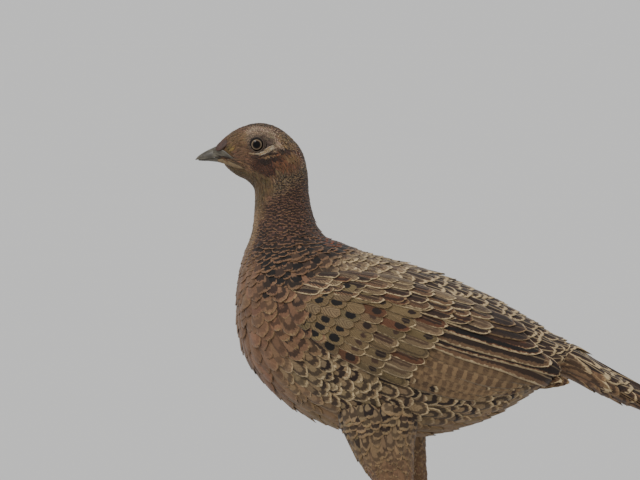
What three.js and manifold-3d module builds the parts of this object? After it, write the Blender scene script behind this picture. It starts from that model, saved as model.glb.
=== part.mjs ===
// A hen common pheasant, life size, standing alert: neck raised, back sloping down to a long pointed tail.
// Millimetres, +Z up. The bird faces -X, its left side is towards -Y, and the floor is Z = 0.
// The outline is drawn from the centre of the eye: X = 0 there, and Z is the height above the floor.
import * as THREE from "three";
import { mergeVertices } from "three/addons/utils/BufferGeometryUtils.js";
import Module from "manifold-3d";

const wasm = await Module();
wasm.setup();

// Driving dimensions
const seam = 0.3; // gap between parts that touch
const eyeHeight = 309; // centre of the eye above the floor
const eyeRadius = 5.2;
const eyeBulge = 2.0; // how far the eyeball stands out of the side of the head
const lidRadius = 4.5; // middle of the lid ring
const lidThickness = 0.85;
const wingSlope = 22; // degrees below level, the lie of the folded wing
const wingBend = [24, 206]; // the wrist, where the folded wing begins, in X and Z
const wingThickness = 3.8; // muscle and small feathers of the closed wing
const tailSlope = 23; // degrees below level
const tailLength = 222; // longest tail feather beyond the body
const tailPairs = 9;
const layerPitch = 1.25; // one tail feather lies this far below the next
const hipHalfGap = 26; // half the distance between the feet
const ankleHeight = 66;
const footCentre = 88; // X of the ball of the foot, midway between the two
const stride = 7; // each foot stands this far before or behind footCentre
const tarsusRadius = 3.1;
const toeRadius = 3.0;

const radians = THREE.MathUtils.degToRad;
const lerp = THREE.MathUtils.lerp;
const smooth = THREE.MathUtils.smoothstep;

// Stations of the trunk, from the root of the bill to the root of the tail.
// Each is a flat section through the back outline and the throat or belly outline. It is half wide at its
// widest level (0 at the belly, 1 at the back), and rounded by an exponent above and below that level.
const stations = [
  { back: [-25.9, 307.8], belly: [-21.8, 296.4], half: 5.6, level: 0.45, top: 2, bottom: 2.2 }, // bill
  { back: [-20.6, 313.2], belly: [-17.6, 292.4], half: 8.2, level: 0.47, top: 2.0, bottom: 2.2 }, // lores
  { back: [-12.2, 318.8], belly: [-12.6, 288.7], half: 11.4, level: 0.5, top: 2.2, bottom: 2.2 }, // forehead
  { back: [-0.5, 322.3], belly: [-7.6, 286.4], half: 13.8, level: 0.5, top: 2.3, bottom: 2.2 }, // over the eye
  { back: [11.0, 320.6], belly: [-3.6, 283.2], half: 15.0, level: 0.47, top: 2.3, bottom: 2.2 },
  { back: [21.6, 313.4], belly: [-1.3, 279.4], half: 15.4, level: 0.47, top: 2.2, bottom: 2.2 }, // nape
  { back: [29.2, 303.6], belly: [-0.9, 275.0], half: 15.4, level: 0.5, top: 2.1, bottom: 2.1 },
  { back: [32.4, 291.0], belly: [-0.9, 270.4], half: 15.8, level: 0.5, top: 2, bottom: 2 }, // neck
  { back: [33.2, 278.6], belly: [-1.3, 265.0], half: 16.6, level: 0.5, top: 2.0, bottom: 2.0 },
  { back: [34.9, 267.4], belly: [-1.8, 257.8], half: 18.2, level: 0.5, top: 2.0, bottom: 2.0 },
  { back: [38.2, 256.8], belly: [-3.6, 248.4], half: 21.4, level: 0.5, top: 2, bottom: 2.1 }, // foot of neck
  { back: [44.4, 248.2], belly: [-7.8, 237.0], half: 27.5, level: 0.5, top: 2.0, bottom: 2.1 },
  { back: [55.4, 243.6], belly: [-10.9, 223.6], half: 35.0, level: 0.48, top: 2.1, bottom: 2.1 }, // shoulders
  { back: [69.0, 237.9], belly: [-12.2, 208.0], half: 41.0, level: 0.46, top: 2.1, bottom: 2.1 },
  { back: [85.0, 233.4], belly: [-11.4, 188.4], half: 45.5, level: 0.46, top: 2.2, bottom: 2.1 }, // breast
  { back: [103.0, 228.4], belly: [-4.0, 166.4], half: 48.0, level: 0.46, top: 2.2, bottom: 2.1 },
  { back: [123.0, 221.4], belly: [17.0, 143.6], half: 48.5, level: 0.46, top: 2.2, bottom: 2.1 },
  { back: [143.0, 212.8], belly: [48.0, 126.4], half: 46.5, level: 0.46, top: 2.1, bottom: 2.0 }, // belly
  { back: [162.0, 203.0], belly: [84.0, 119.0], half: 42.0, level: 0.48, top: 2.1, bottom: 2.0 },
  { back: [179.0, 192.6], belly: [120.0, 122.0], half: 35.0, level: 0.5, top: 2.0, bottom: 2.0 },
  { back: [193.0, 184.0], belly: [152.0, 132.6], half: 27.0, level: 0.52, top: 2.0, bottom: 2.0 }, // rump
  { back: [203.0, 178.2], belly: [177.0, 147.4], half: 20.0, level: 0.54, top: 2.0, bottom: 2.0 },
  { back: [210.0, 174.4], belly: [194.0, 159.4], half: 15.5, level: 0.56, top: 2, bottom: 2 }, // root of tail
];
const lastStation = stations.length - 1;
const headEnd = 6.2; // where the head is parted from the neck, in stations
const neckEnd = 10.9; // where the neck is parted from the torso

// Materials
const plumageColour = (hex) => new THREE.MeshStandardMaterial({ color: hex, roughness: 0.85, metalness: 0 });
const headFeather = plumageColour(0x9a7a5c);
const neckFeather = plumageColour(0x7d5f55);
const bodyFeather = plumageColour(0xa58666);
const wingFeather = plumageColour(0x9a7d5e);
const tailFeather = plumageColour(0x94785a);
const thighFeather = plumageColour(0xa8927a);
const horn = new THREE.MeshStandardMaterial({ color: 0x77705f, roughness: 0.45, metalness: 0 });
const legScale = new THREE.MeshStandardMaterial({ color: 0x7a6c5e, roughness: 0.6, metalness: 0 });
const eyeGlass = new THREE.MeshStandardMaterial({ color: 0x2a1a10, roughness: 0.05, metalness: 0 });

// One number on a smooth curve through the four values round it, share of the way from the second to the third.
function spline(a, b, c, d, share) {
  const square = share * share;
  const cube = square * share;
  const curve = (2 * a - 5 * b + 4 * c - d) * square + (3 * b - a - 3 * c + d) * cube;
  return 0.5 * (2 * b + (c - a) * share + curve);
}

// The trunk's section at s, counted in stations; past the root of the tail it runs straight on.
function section(s) {
  const held = Math.min(Math.max(s, 0), lastStation);
  const i = Math.min(Math.floor(held), lastStation - 1);
  const near = [i - 1, i, i + 1, i + 2].map((n) => stations[Math.min(Math.max(n, 0), lastStation)]);
  const share = held - i;
  const mix = (read) => spline(...near.map(read), share);
  return {
    back: [mix((k) => k.back[0]), mix((k) => k.back[1])],
    belly: [mix((k) => k.belly[0]), mix((k) => k.belly[1])],
    half: mix((k) => k.half),
    level: mix((k) => k.level),
    top: mix((k) => k.top),
    bottom: mix((k) => k.bottom),
  };
}

// A point of the trunk's surface: angle 0 is the back, a half turn is the belly, and grow moves it outwards.
function trunkPoint(s, angle, grow = 0) {
  const k = section(s);
  const up = Math.cos(angle);
  const out = Math.sin(angle);
  const power = 2 / (up >= 0 ? k.top : k.bottom);
  const rise = Math.sign(up) * Math.abs(up) ** power;
  const share = k.level + (up >= 0 ? 1 - k.level : k.level) * rise;
  const height = Math.hypot(k.back[0] - k.belly[0], k.back[1] - k.belly[1]);
  const grown = share + (grow * rise) / height;
  return new THREE.Vector3(
    lerp(k.belly[0], k.back[0], grown),
    Math.sign(out) * Math.abs(out) ** power * (k.half + grow),
    lerp(k.belly[1], k.back[1], grown),
  );
}

// The normal of a section's plane, towards the tail.
function sectionNormal(s) {
  const k = section(s);
  const run = k.back[0] - k.belly[0];
  const rise = k.back[1] - k.belly[1];
  return new THREE.Vector3(rise, 0, -run).normalize();
}

// A closed solid from rings of points, each ring the same number of points, closed by a fan at both ends.
function loft(rings) {
  const positions = [];
  const triangles = [];
  const count = rings[0].length;
  rings.forEach((ring) => ring.forEach((p) => positions.push(p.x, p.y, p.z)));
  for (let r = 0; r < rings.length - 1; r++) {
    for (let i = 0; i < count; i++) {
      const a = r * count + i;
      const b = r * count + ((i + 1) % count);
      triangles.push(a, b, b + count, a, b + count, a + count);
    }
  }
  [0, rings.length - 1].forEach((r) => {
    const centre = new THREE.Vector3();
    rings[r].forEach((p) => centre.addScaledVector(p, 1 / count));
    const hub = positions.length / 3;
    positions.push(centre.x, centre.y, centre.z);
    for (let i = 0; i < count; i++) {
      const a = r * count + i;
      const b = r * count + ((i + 1) % count);
      triangles.push(...(r === 0 ? [hub, b, a] : [hub, a, b]));
    }
  });
  return solidOf(positions, triangles);
}

// A solid from plain arrays, turned so that its faces point out.
function solidOf(positions, triangles) {
  const make = (order) => {
    const geometry = new THREE.BufferGeometry();
    geometry.setAttribute("position", new THREE.Float32BufferAttribute(positions, 3));
    geometry.setIndex(order);
    const merged = mergeVertices(geometry, 1e-4);
    return new wasm.Manifold(
      new wasm.Mesh({
        numProp: 3,
        vertProperties: new Float32Array(merged.attributes.position.array),
        triVerts: new Uint32Array(merged.index.array),
      }),
    );
  };
  const solid = make(triangles);
  if (solid.volume() > 0) return solid;
  const turned = [];
  for (let i = 0; i < triangles.length; i += 3) turned.push(triangles[i], triangles[i + 2], triangles[i + 1]);
  return make(turned);
}

// Joins solids and keeps the largest closed surface.
function fuse(solids) {
  const joined = wasm.Manifold.union(solids);
  return joined.decompose().reduce((best, body) => (body.volume() > best.volume() ? body : best));
}

// A closed three.js geometry, such as a sphere, as a solid.
function solidOfGeometry(geometry) {
  const bare = geometry.index ? geometry.toNonIndexed() : geometry;
  const positions = Array.from(bare.getAttribute("position").array);
  return solidOf(positions, Array.from({ length: positions.length / 3 }, (_, i) => i));
}

function sphere(centre, radius, scale = [1, 1, 1], detail = [12, 8]) {
  const geometry = new THREE.SphereGeometry(radius, detail[0], detail[1]);
  geometry.scale(...scale);
  geometry.translate(centre.x, centre.y, centre.z);
  return solidOfGeometry(geometry);
}

// A length of the trunk between two stations, with flat ends pulled in by half a seam.
function trunkLength(from, to, steps, sides, grow = 0) {
  const rings = [];
  for (let i = 0; i <= steps; i++) {
    const s = lerp(from, to, i / steps);
    const inset = i === 0 ? seam / 2 : i === steps ? -seam / 2 : 0;
    const shift = sectionNormal(s).multiplyScalar(inset);
    const ring = [];
    for (let j = 0; j < sides; j++) ring.push(trunkPoint(s, (2 * Math.PI * j) / sides, grow).add(shift));
    rings.push(ring);
  }
  return loft(rings);
}

const torsoSolid = (grow = 0) => trunkLength(neckEnd, lastStation, 18, 32, grow);

// A tube round a line of points, each with its half width across and half depth. Where it would sink into the
// floor it lies flat on it.
function tube(spine, sides, across = new THREE.Vector3(0, 1, 0)) {
  const rings = spine.map((k, i) => {
    const next = spine[Math.min(i + 1, spine.length - 1)].at;
    const last = spine[Math.max(i - 1, 0)].at;
    const along = k.along ?? next.clone().sub(last).normalize();
    const wide = across.clone().addScaledVector(along, -across.dot(along)).normalize();
    const deep = new THREE.Vector3().crossVectors(wide, along);
    const ring = [];
    for (let j = 0; j < sides; j++) {
      const turn = (2 * Math.PI * (j + 0.5)) / sides;
      const p = k.at.clone().addScaledVector(wide, k.wide * Math.cos(turn));
      p.addScaledVector(deep, k.deep * Math.sin(turn));
      p.z = Math.max(p.z, 0);
      ring.push(p);
    }
    return ring;
  });
  return loft(rings);
}

// Half the trunk's width at a point of its side view.
function trunkHalf(x, z) {
  let low = 0;
  let high = lastStation;
  const side = (s) => {
    const k = section(s);
    return (x - k.belly[0]) * (k.back[1] - k.belly[1]) - (z - k.belly[1]) * (k.back[0] - k.belly[0]);
  };
  for (let i = 0; i < 26; i++) {
    const middle = (low + high) / 2;
    if (side(middle) > 0) low = middle;
    else high = middle;
  }
  const k = section(low);
  const run = [k.back[0] - k.belly[0], k.back[1] - k.belly[1]];
  const share = ((x - k.belly[0]) * run[0] + (z - k.belly[1]) * run[1]) / (run[0] ** 2 + run[1] ** 2);
  const above = share >= k.level;
  const rise = Math.abs(share - k.level) / (above ? 1 - k.level : k.level);
  const power = above ? k.top : k.bottom;
  return rise < 1 ? k.half * (1 - rise ** power) ** (1 / power) : 0;
}

// The wing lies on the trunk's side, and keeps a least distance from the middle where its tips pass the rump.
const leastHalf = 15;
const widthBlend = 5; // how softly the two run together
function wingSide(x, z) {
  const gap = trunkHalf(x, z) - leastHalf;
  return leastHalf + (gap + Math.sqrt(gap * gap + widthBlend * widthBlend)) / 2;
}

// The closed wing lies on the left side: along runs back from the bend, up is square to that in the side view,
// and height stands off the side of the trunk.
const wingAlong = [Math.cos(radians(wingSlope)), -Math.sin(radians(wingSlope))];
const wingUp = [-wingAlong[1], wingAlong[0]];
function wingPlace(along, up, height) {
  const x = wingBend[0] + along * wingAlong[0] + up * wingUp[0];
  const z = wingBend[1] + along * wingAlong[1] + up * wingUp[1];
  const reach = 1.5; // distance to the points that give the slope
  const slopeX = (wingSide(x + reach, z) - wingSide(x - reach, z)) / (2 * reach);
  const slopeZ = (wingSide(x, z + reach) - wingSide(x, z - reach)) / (2 * reach);
  const normal = new THREE.Vector3(-slopeX, -1, -slopeZ).normalize();
  return new THREE.Vector3(x, -wingSide(x, z), z).addScaledVector(normal, height);
}

// Tail feathers lie along a straight line from the root of the tail, drooping a little towards their tips.
const tailRoot = [205, 166.5];
const tailDroop = 7;
const tailAlong = [Math.cos(radians(tailSlope)), -Math.sin(radians(tailSlope))];
function tailPlace(along, across, height) {
  const lift = height - tailDroop * (Math.max(along, 0) / tailLength) ** 2;
  return new THREE.Vector3(
    tailRoot[0] + along * tailAlong[0] - lift * tailAlong[1],
    across,
    tailRoot[1] + along * tailAlong[1] + lift * tailAlong[0],
  );
}

// Width of a feather along its length, as shares of its full width, for a round and for a pointed end.
const roundEnd = [[0, 0.62], [0.4, 1], [0.74, 0.94], [0.93, 0.6], [1, 0.24]];
const pointedEnd = [[0, 0.6], [0.2, 1], [0.55, 0.86], [0.82, 0.5], [1, 0.12]];
const vaneThickness = 0.62;

// A feather as one thin plate from its root to its tip, rolled a little so that its edges pass over and under
// its neighbours. Both faces are split into triangles alike, so that they stay apart where the plate bends.
function vane(place, f) {
  const positions = [];
  const triangles = [];
  const run = [f.tip[0] - f.root[0], f.tip[1] - f.root[1]];
  const length = Math.hypot(...run);
  const across = [-run[1] / length, run[0] / length];
  const shape = f.shape ?? roundEnd;
  const thick = f.thick ?? vaneThickness;
  shape.forEach(([t, wide]) => {
    const bow = (f.bow ?? 0) * Math.sin(Math.PI * t);
    const lift = lerp(f.rise[0], f.rise[1], smooth(t, 0, 1));
    for (const [edge, up] of [[-1, 1], [1, 1], [1, -1], [-1, -1]]) {
      const off = (edge * f.width * wide) / 2 + bow;
      const height = lift + edge * (f.roll ?? 0) * wide + (up * thick) / 2;
      const at = [0, 1].map((i) => f.root[i] + run[i] * t + across[i] * off);
      const p = place(at[0], at[1], height);
      positions.push(p.x, p.y, p.z);
    }
  });
  const last = (shape.length - 1) * 4;
  for (let r = 0; r < last; r += 4) {
    triangles.push(r, r + 1, r + 5, r, r + 5, r + 4); // upper face
    triangles.push(r + 3, r + 6, r + 2, r + 3, r + 7, r + 6); // lower face
    triangles.push(r + 1, r + 2, r + 6, r + 1, r + 6, r + 5); // edges
    triangles.push(r + 3, r, r + 4, r + 3, r + 4, r + 7);
  }
  triangles.push(0, 3, 2, 0, 2, 1, last, last + 1, last + 2, last, last + 2, last + 3);
  return solidOf(positions, triangles);
}

// A row of feathers side by side, each between the first and the last.
function vaneRow(place, row) {
  return Array.from({ length: row.count }, (_, i) => {
    const t = row.count > 1 ? i / (row.count - 1) : 0;
    const between = (pair) => [lerp(pair[0][0], pair[1][0], t), lerp(pair[0][1], pair[1][1], t)];
    const width = Array.isArray(row.width) ? lerp(row.width[0], row.width[1], t) : row.width;
    return vane(place, { ...row, root: between(row.roots), tip: between(row.tips), width });
  });
}

const group = new THREE.Group();
function addPart(name, solid, material, parent = group) {
  const made = solid.getMesh();
  const count = made.numProp;
  const positions = new Float32Array(made.numVert * 3);
  for (let i = 0; i < made.numVert; i++) {
    positions.set(made.vertProperties.subarray(i * count, i * count + 3), i * 3);
  }
  const geometry = new THREE.BufferGeometry();
  geometry.setAttribute("position", new THREE.BufferAttribute(positions, 3));
  geometry.setIndex(new THREE.BufferAttribute(new Uint32Array(made.triVerts), 1));
  geometry.computeVertexNormals();
  const mesh = new THREE.Mesh(geometry, material);
  mesh.name = name;
  parent.add(mesh);
  return mesh;
}

// Head: a socket and lids round each eye, full ear coverts behind it, and the corner of the mouth.
const eyeDetail = [16, 10]; // faces round the eyeball and from pole to pole
const eyeSide = trunkHalf(0, eyeHeight);
const eyeCentre = (side) => new THREE.Vector3(0, side * (eyeSide - eyeRadius + eyeBulge), eyeHeight);

function lids(side) {
  const ring = new THREE.TorusGeometry(lidRadius, lidThickness, 6, 18);
  ring.rotateX(Math.PI / 2);
  ring.scale(1.08, 1, 0.94);
  const centre = eyeCentre(side);
  ring.translate(centre.x, centre.y + side * (eyeRadius - eyeBulge + 0.75), centre.z);
  return solidOfGeometry(ring);
}

function makeHead() {
  const pieces = [trunkLength(0, headEnd, 12, 26)];
  for (const side of [-1, 1]) {
    pieces.push(sphere(new THREE.Vector3(10, side * 9.6, eyeHeight - 10), 7, [1.4, 0.86, 1])); // ear coverts
    pieces.push(lids(side));
  }
  let head = fuse(pieces);
  for (const side of [-1, 1]) {
    head = head.subtract(sphere(eyeCentre(side), eyeRadius + seam, [1, 1, 1], eyeDetail));
    const corner = [
      { at: new THREE.Vector3(-26, side * 7.2, 300.7), wide: 1.7, deep: 0.42 },
      { at: new THREE.Vector3(-20, side * 8.6, 300.9), wide: 1.5, deep: 0.42 },
      { at: new THREE.Vector3(-14.5, side * 10.6, 299.0), wide: 1.0, deep: 0.36 },
      { at: new THREE.Vector3(-11.5, side * 12.4, 297.4), wide: 0.8, deep: 0.3 },
    ];
    head = head.subtract(tube(corner, 6)); // corner of the mouth
  }
  return head;
}

// The bill: sections across it from the face to the tip, each from the ridge or keel to the line of the mouth.
// A round side arches over the half width, and the mouth side is nearly flat.
function billSection(outer, mouth, half, sides, ridge) {
  const ring = [];
  for (let j = 0; j < sides; j++) {
    const turn = (Math.PI * j) / (sides - 1);
    const share = Math.sin(turn) ** ridge;
    const [x, z] = [lerp(mouth[0], outer[0], share), lerp(mouth[1], outer[1], share)];
    ring.push(new THREE.Vector3(x, half * Math.cos(turn), z));
  }
  ring.push(new THREE.Vector3(mouth[0], 0, lerp(mouth[1], outer[1], 0.12)));
  return ring;
}

const upperBill = [
  { outer: [-26.5, 307.6], mouth: [-24.6, 300.9], half: 5.2 },
  { outer: [-29.2, 306.4], mouth: [-27.6, 300.3], half: 4.6 },
  { outer: [-32.2, 305.0], mouth: [-31.2, 299.8], half: 3.8 },
  { outer: [-35.4, 303.4], mouth: [-34.8, 299.2], half: 2.8 },
  { outer: [-38.2, 301.3], mouth: [-37.6, 298.7], half: 1.7 },
  { outer: [-39.8, 299.3], mouth: [-39.3, 298.2], half: 0.6 },
];
const lowerBill = [
  { outer: [-22.9, 296.7], mouth: [-24.5, 300.3], half: 4.9 },
  { outer: [-26.4, 297.6], mouth: [-27.6, 299.7], half: 4.2 },
  { outer: [-30.6, 297.8], mouth: [-31.2, 299.2], half: 3.3 },
  { outer: [-34.4, 297.7], mouth: [-34.6, 298.6], half: 2.1 },
  { outer: [-36.9, 297.6], mouth: [-36.9, 298.1], half: 1.0 },
];
const billRings = (profile, ridge) => profile.map((k) => billSection(k.outer, k.mouth, k.half, 9, ridge));

const faceSolid = () => trunkLength(0, 2, 4, 26, seam);

const nostrilFlap = (side) => sphere(new THREE.Vector3(-28.2, side * 3.1, 304.3), 1.6, [1.5, 0.9, 0.8], [8, 6]);

function makeUpperBill() {
  const flaps = [-1, 1].map((side) => nostrilFlap(side));
  let bill = fuse([loft(billRings(upperBill, 0.8)), ...flaps]);
  for (const side of [-1, 1]) {
    const nostril = new THREE.Vector3(-29, side * 4.5, 303.1);
    bill = bill.subtract(sphere(nostril, 0.8, [1.9, 1, 0.5], [8, 6]));
  }
  return fuse([bill.subtract(faceSolid())]);
}

function makeLowerBill() {
  return fuse([loft(billRings(lowerBill, 0.75)).subtract(faceSolid())]);
}

// Wing: a thin core on the side of the trunk, edged all round, with the feathers rooted in it tier by tier.
const wingOutline = [
  { along: -2, top: 6, foot: -5 },
  { along: 6, top: 24, foot: -12 },
  { along: 24, top: 36.5, foot: -19 },
  { along: 50, top: 42, foot: -22 },
  { along: 80, top: 43.5, foot: -20 },
  { along: 108, top: 42, foot: -14 },
  { along: 132, top: 37, foot: -4 },
  { along: 150, top: 32, foot: 8 },
];
function wingEdge(share, read) {
  const s = share * (wingOutline.length - 1);
  const i = Math.min(Math.floor(s), wingOutline.length - 2);
  const row = (n) => wingOutline[Math.min(Math.max(n, 0), wingOutline.length - 1)];
  const near = [i - 1, i, i + 1, i + 2].map(row);
  return spline(...near.map(read), s - i);
}

const coreRim = 1.0; // thickness of the core at its edge
const coreSunk = -1.6; // its inner face lies inside the trunk and is cut away with it

// Thickness of the core at a share of its length and at v, from its top edge to its foot.
function coreThickness(share, v) {
  const crown = Math.sqrt(Math.max(0, 1 - (2 * v - 1) ** 2));
  const fill = Math.sin(Math.PI * Math.min(0.5, 0.12 + share * 0.9)) * (1 - 0.75 * smooth(share, 0.45, 1));
  return coreRim + wingThickness * crown * fill;
}

function wingCore() {
  const stepsAlong = 9;
  const stepsAcross = 5;
  const rings = [];
  for (let i = 0; i <= stepsAlong; i++) {
    const share = i / stepsAlong;
    const [along, top, foot] = ["along", "top", "foot"].map((key) => wingEdge(share, (k) => k[key]));
    const outer = [];
    const inner = [];
    for (let j = 0; j <= stepsAcross; j++) {
      const v = j / stepsAcross;
      outer.push(wingPlace(along, lerp(top, foot, v), coreThickness(share, v)));
      inner.unshift(wingPlace(along, lerp(top, foot, v), coreSunk));
    }
    rings.push([...outer, ...inner]);
  }
  return loft(rings);
}

// A place that stands off the core's outer face, on which the feathers are set.
function onCore(along, up, height) {
  const last = wingOutline.length - 1;
  const near = Math.max(wingOutline.findLastIndex((k) => along >= k.along), 0);
  const next = Math.min(near + 1, last);
  const reach = wingOutline[next].along - wingOutline[near].along;
  const past = reach > 0 ? Math.max(0, (along - wingOutline[near].along) / reach) : 0;
  const share = Math.min(near + past, last) / last;
  const top = wingEdge(share, (k) => k.top);
  const foot = wingEdge(share, (k) => k.foot);
  const v = Math.min(Math.max((top - up) / (top - foot), 0), 1);
  return wingPlace(along, up, height + coreThickness(share, v));
}

// Tiers of the wing: feathers in each row are spaced evenly between the first and the last.
const wingRoll = 0.55;
const wingRows = [
  // primaries, their tips showing behind and below the secondaries
  {
    count: 4,
    roots: [[100, -7], [116, 6]],
    tips: [[163, 6], [197, 22]],
    width: 12,
    rise: [-1.2, -0.3],
    bow: -4,
    shape: pointedEnd,
  },
  // secondaries
  {
    count: 5,
    roots: [[68, -14], [80, 8]],
    tips: [[136, -10], [170, 18]],
    width: 12.5,
    rise: [-1.2, 1.0],
    bow: -3,
  },
  // tertials, the broad feathers that close over the rump
  { count: 3, roots: [[82, 16], [86, 34]], tips: [[172, 25], [162, 40]], width: 15, rise: [-1.0, 3.0], bow: 1 },
  // greater coverts
  { count: 6, roots: [[44, -14], [50, 25]], tips: [[88, -16], [98, 25]], width: 10.5, rise: [-1.0, 2.2] },
  // median coverts
  { count: 5, roots: [[20, -8], [27, 22]], tips: [[56, -14], [62, 24]], width: 11, rise: [-1.0, 2.2] },
  // scapulars, over the shoulder, in three tiers
  { count: 2, roots: [[70, 30], [73, 40]], tips: [[122, 30], [124, 42]], width: 15, rise: [-0.8, 3.6] },
  { count: 2, roots: [[42, 28], [47, 38]], tips: [[91, 28], [94, 40]], width: 14.5, rise: [-0.8, 3.4] },
  { count: 2, roots: [[16, 24], [23, 33]], tips: [[60, 28], [64, 38]], width: 14, rise: [-0.8, 3.2] },
];

function makeWing() {
  const vanes = wingRows.flatMap((row) => vaneRow(onCore, { ...row, roll: -wingRoll }));
  return fuse([fuse([wingCore(), ...vanes]).subtract(torsoSolid(seam))]);
}

// Tail: a block of coverts at the root, and the tail feathers in layers below one another, the middle pair
// longest.
function makeTail() {
  const block = [];
  const blockLength = 40;
  const steps = 3;
  const sides = 18;
  for (let i = 0; i <= steps; i++) {
    const t = i / steps;
    const ring = [];
    for (let j = 0; j < sides; j++) {
      const turn = (2 * Math.PI * j) / sides;
      const start = trunkPoint(lastStation, turn).addScaledVector(sectionNormal(lastStation), seam / 2);
      const end = tailPlace(blockLength, 15 * Math.sin(turn), -4 + 6.5 * Math.cos(turn));
      ring.push(start.lerp(end, t));
    }
    block.push(ring);
  }
  const vanes = [];
  for (let pair = 0; pair < tailPairs; pair++) {
    const middle = pair === 0;
    const length = tailLength * (1 - 0.075 * pair) - (middle ? 0 : 6);
    const width = middle ? 20 : 14;
    for (const side of [-1, 1]) {
      const layer = middle && side < 0 ? 0 : pair + 1;
      const height = 2.5 - layer * layerPitch;
      const rootAcross = middle ? 1.5 : width / 2 + 0.3 + pair * 0.4;
      const tipAcross = middle ? 2.0 : rootAcross + 1 + pair * 1.3 * (length / tailLength) - width * 0.3;
      vanes.push(
        vane(tailPlace, {
          root: [14, side * rootAcross],
          tip: [length, side * tipAcross],
          width,
          rise: [height, height],
          roll: middle ? 0 : side * -0.8,
          shape: pointedEnd,
        }),
      );
    }
  }
  const coverts = [
    { count: 4, roots: [[12, -10], [12, 10]], tips: [[72, -13], [72, 13]], width: 9, rise: [2.4, 4.6] },
    { count: 3, roots: [[8, -6], [8, 6]], tips: [[52, -8], [52, 8]], width: 10, rise: [3.0, 6.4] },
    { count: 3, roots: [[8, -6], [8, 6]], tips: [[60, -9], [60, 9]], width: 10, rise: [-10, -12.4] },
  ];
  return fuse([loft(block), ...vanes, ...coverts.flatMap((row) => vaneRow(tailPlace, row))]);
}

// Legs, one for each side: side -1 is the left, and reach moves the foot forwards or back.
function legPoints(side, reach) {
  const y = side * hipHalfGap;
  const footX = footCentre + reach;
  return {
    hip: new THREE.Vector3(80 + reach * 0.4, side * 24, 146),
    knee: new THREE.Vector3(87 + reach * 0.6, side * 26, 114),
    ankle: new THREE.Vector3(103 + reach * 0.8, y, ankleHeight),
    ball: new THREE.Vector3(footX, y, 0),
  };
}

const shaft = (k, t) => k.ankle.clone().lerp(new THREE.Vector3(k.ball.x, k.ball.y, 11), t);

function makeThigh(side, reach) {
  const k = legPoints(side, reach);
  const along = shaft(k, 1).sub(k.ankle).normalize();
  const spine = [
    { at: k.hip, wide: 17, deep: 27 },
    { at: k.hip.clone().lerp(k.knee, 0.5), wide: 17, deep: 25 },
    { at: k.knee, wide: 14, deep: 19.5 },
    { at: k.knee.clone().lerp(k.ankle, 0.35), wide: 10.5, deep: 13.5 },
    { at: k.knee.clone().lerp(k.ankle, 0.7), wide: 7.4, deep: 8.8 },
    { at: k.ankle.clone().addScaledVector(along, -seam / 2), wide: 5.4, deep: 6.2, along },
  ];
  return fuse([tube(spine, 16).subtract(torsoSolid(seam))]);
}

const scutes = 9; // raised plates down the front of the shank
function makeShank(side, reach) {
  const k = legPoints(side, reach);
  const along = shaft(k, 1).sub(k.ankle).normalize();
  const spine = [
    { at: k.ankle.clone().addScaledVector(along, seam / 2), wide: 4.3, deep: 4.9, along },
    { at: shaft(k, 0.06), wide: 4.2, deep: 4.8 },
  ];
  for (let i = 0; i < scutes; i++) {
    const t = lerp(0.12, 0.94, i / scutes);
    const swell = 1 + 0.22 * smooth(t, 0.7, 0.95);
    spine.push({ at: shaft(k, t), wide: tarsusRadius * 0.86 * swell, deep: tarsusRadius * 1.12 * swell });
    const foot = shaft(k, t + 0.066);
    spine.push({ at: foot, wide: tarsusRadius * 0.93 * swell, deep: tarsusRadius * 1.22 * swell });
  }
  spine.push({ at: shaft(k, 1).addScaledVector(along, -seam / 2), wide: 3.5, deep: 4.2, along });
  return tube(spine, 8);
}

// Toes: bearing in degrees from straight ahead towards the outer side, length without the claw, and joints as
// swellings.
const toes = [
  { name: "inner", bearing: -27, length: 29, joints: 2, thick: 0.92 },
  { name: "middle", bearing: 2, length: 43, joints: 3, thick: 1.0 },
  { name: "outer", bearing: 33, length: 33, joints: 4, thick: 0.88 },
  { name: "hind", bearing: 172, length: 12, joints: 1, thick: 0.72 },
];
const clawLength = 9.5;
function toeLine(toe, side, reach) {
  const k = legPoints(side, reach);
  const turn = radians(toe.bearing);
  const way = new THREE.Vector3(-Math.cos(turn), side * Math.sin(turn), 0);
  const hind = toe.name === "hind";
  const start = new THREE.Vector3(k.ball.x, k.ball.y, hind ? 7 : 3.4).addScaledVector(way, hind ? 1 : 0);
  const radius = toeRadius * toe.thick;
  const end = k.ball.clone().addScaledVector(way, toe.length).setZ(hind ? 4.2 : radius * 0.86);
  return { way, start, end, radius };
}

function makeToe(toe, side, reach) {
  const { start, end, radius, way } = toeLine(toe, side, reach);
  const across = new THREE.Vector3(-way.y, way.x, 0);
  const steps = toe.joints * 2 + 1;
  const spine = [];
  for (let i = 0; i <= steps; i++) {
    const t = i / steps;
    const pad = 1 + 0.13 * Math.cos(2 * Math.PI * toe.joints * t);
    const taper = lerp(1.12, 0.76, t) * pad;
    const height = toe.name === "hind" ? lerp(start.z, end.z, t) : Math.max(radius * taper * 0.86, 0.5);
    const at = start.clone().lerp(end, t).setZ(height);
    spine.push({ at, wide: radius * taper, deep: radius * taper, along: i === steps ? way : undefined });
  }
  return tube(spine, 8, across);
}

function makeFoot(side, reach) {
  const k = legPoints(side, reach);
  const along = shaft(k, 1).sub(k.ankle).normalize();
  const down = new THREE.Vector3(0, 0, -1);
  const hub = [
    { at: shaft(k, 1).addScaledVector(along, seam / 2), wide: 3.5, deep: 4.2, along },
    { at: new THREE.Vector3(k.ball.x, k.ball.y, 6), wide: 4.6, deep: 5.2 },
    { at: new THREE.Vector3(k.ball.x - 0.5, k.ball.y, 2.2), wide: 5.2, deep: 6 },
    { at: new THREE.Vector3(k.ball.x - 0.5, k.ball.y, 0), wide: 4.6, deep: 5.4, along: down },
  ];
  return fuse([tube(hub, 12), ...toes.map((toe) => makeToe(toe, side, reach))]);
}

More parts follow.
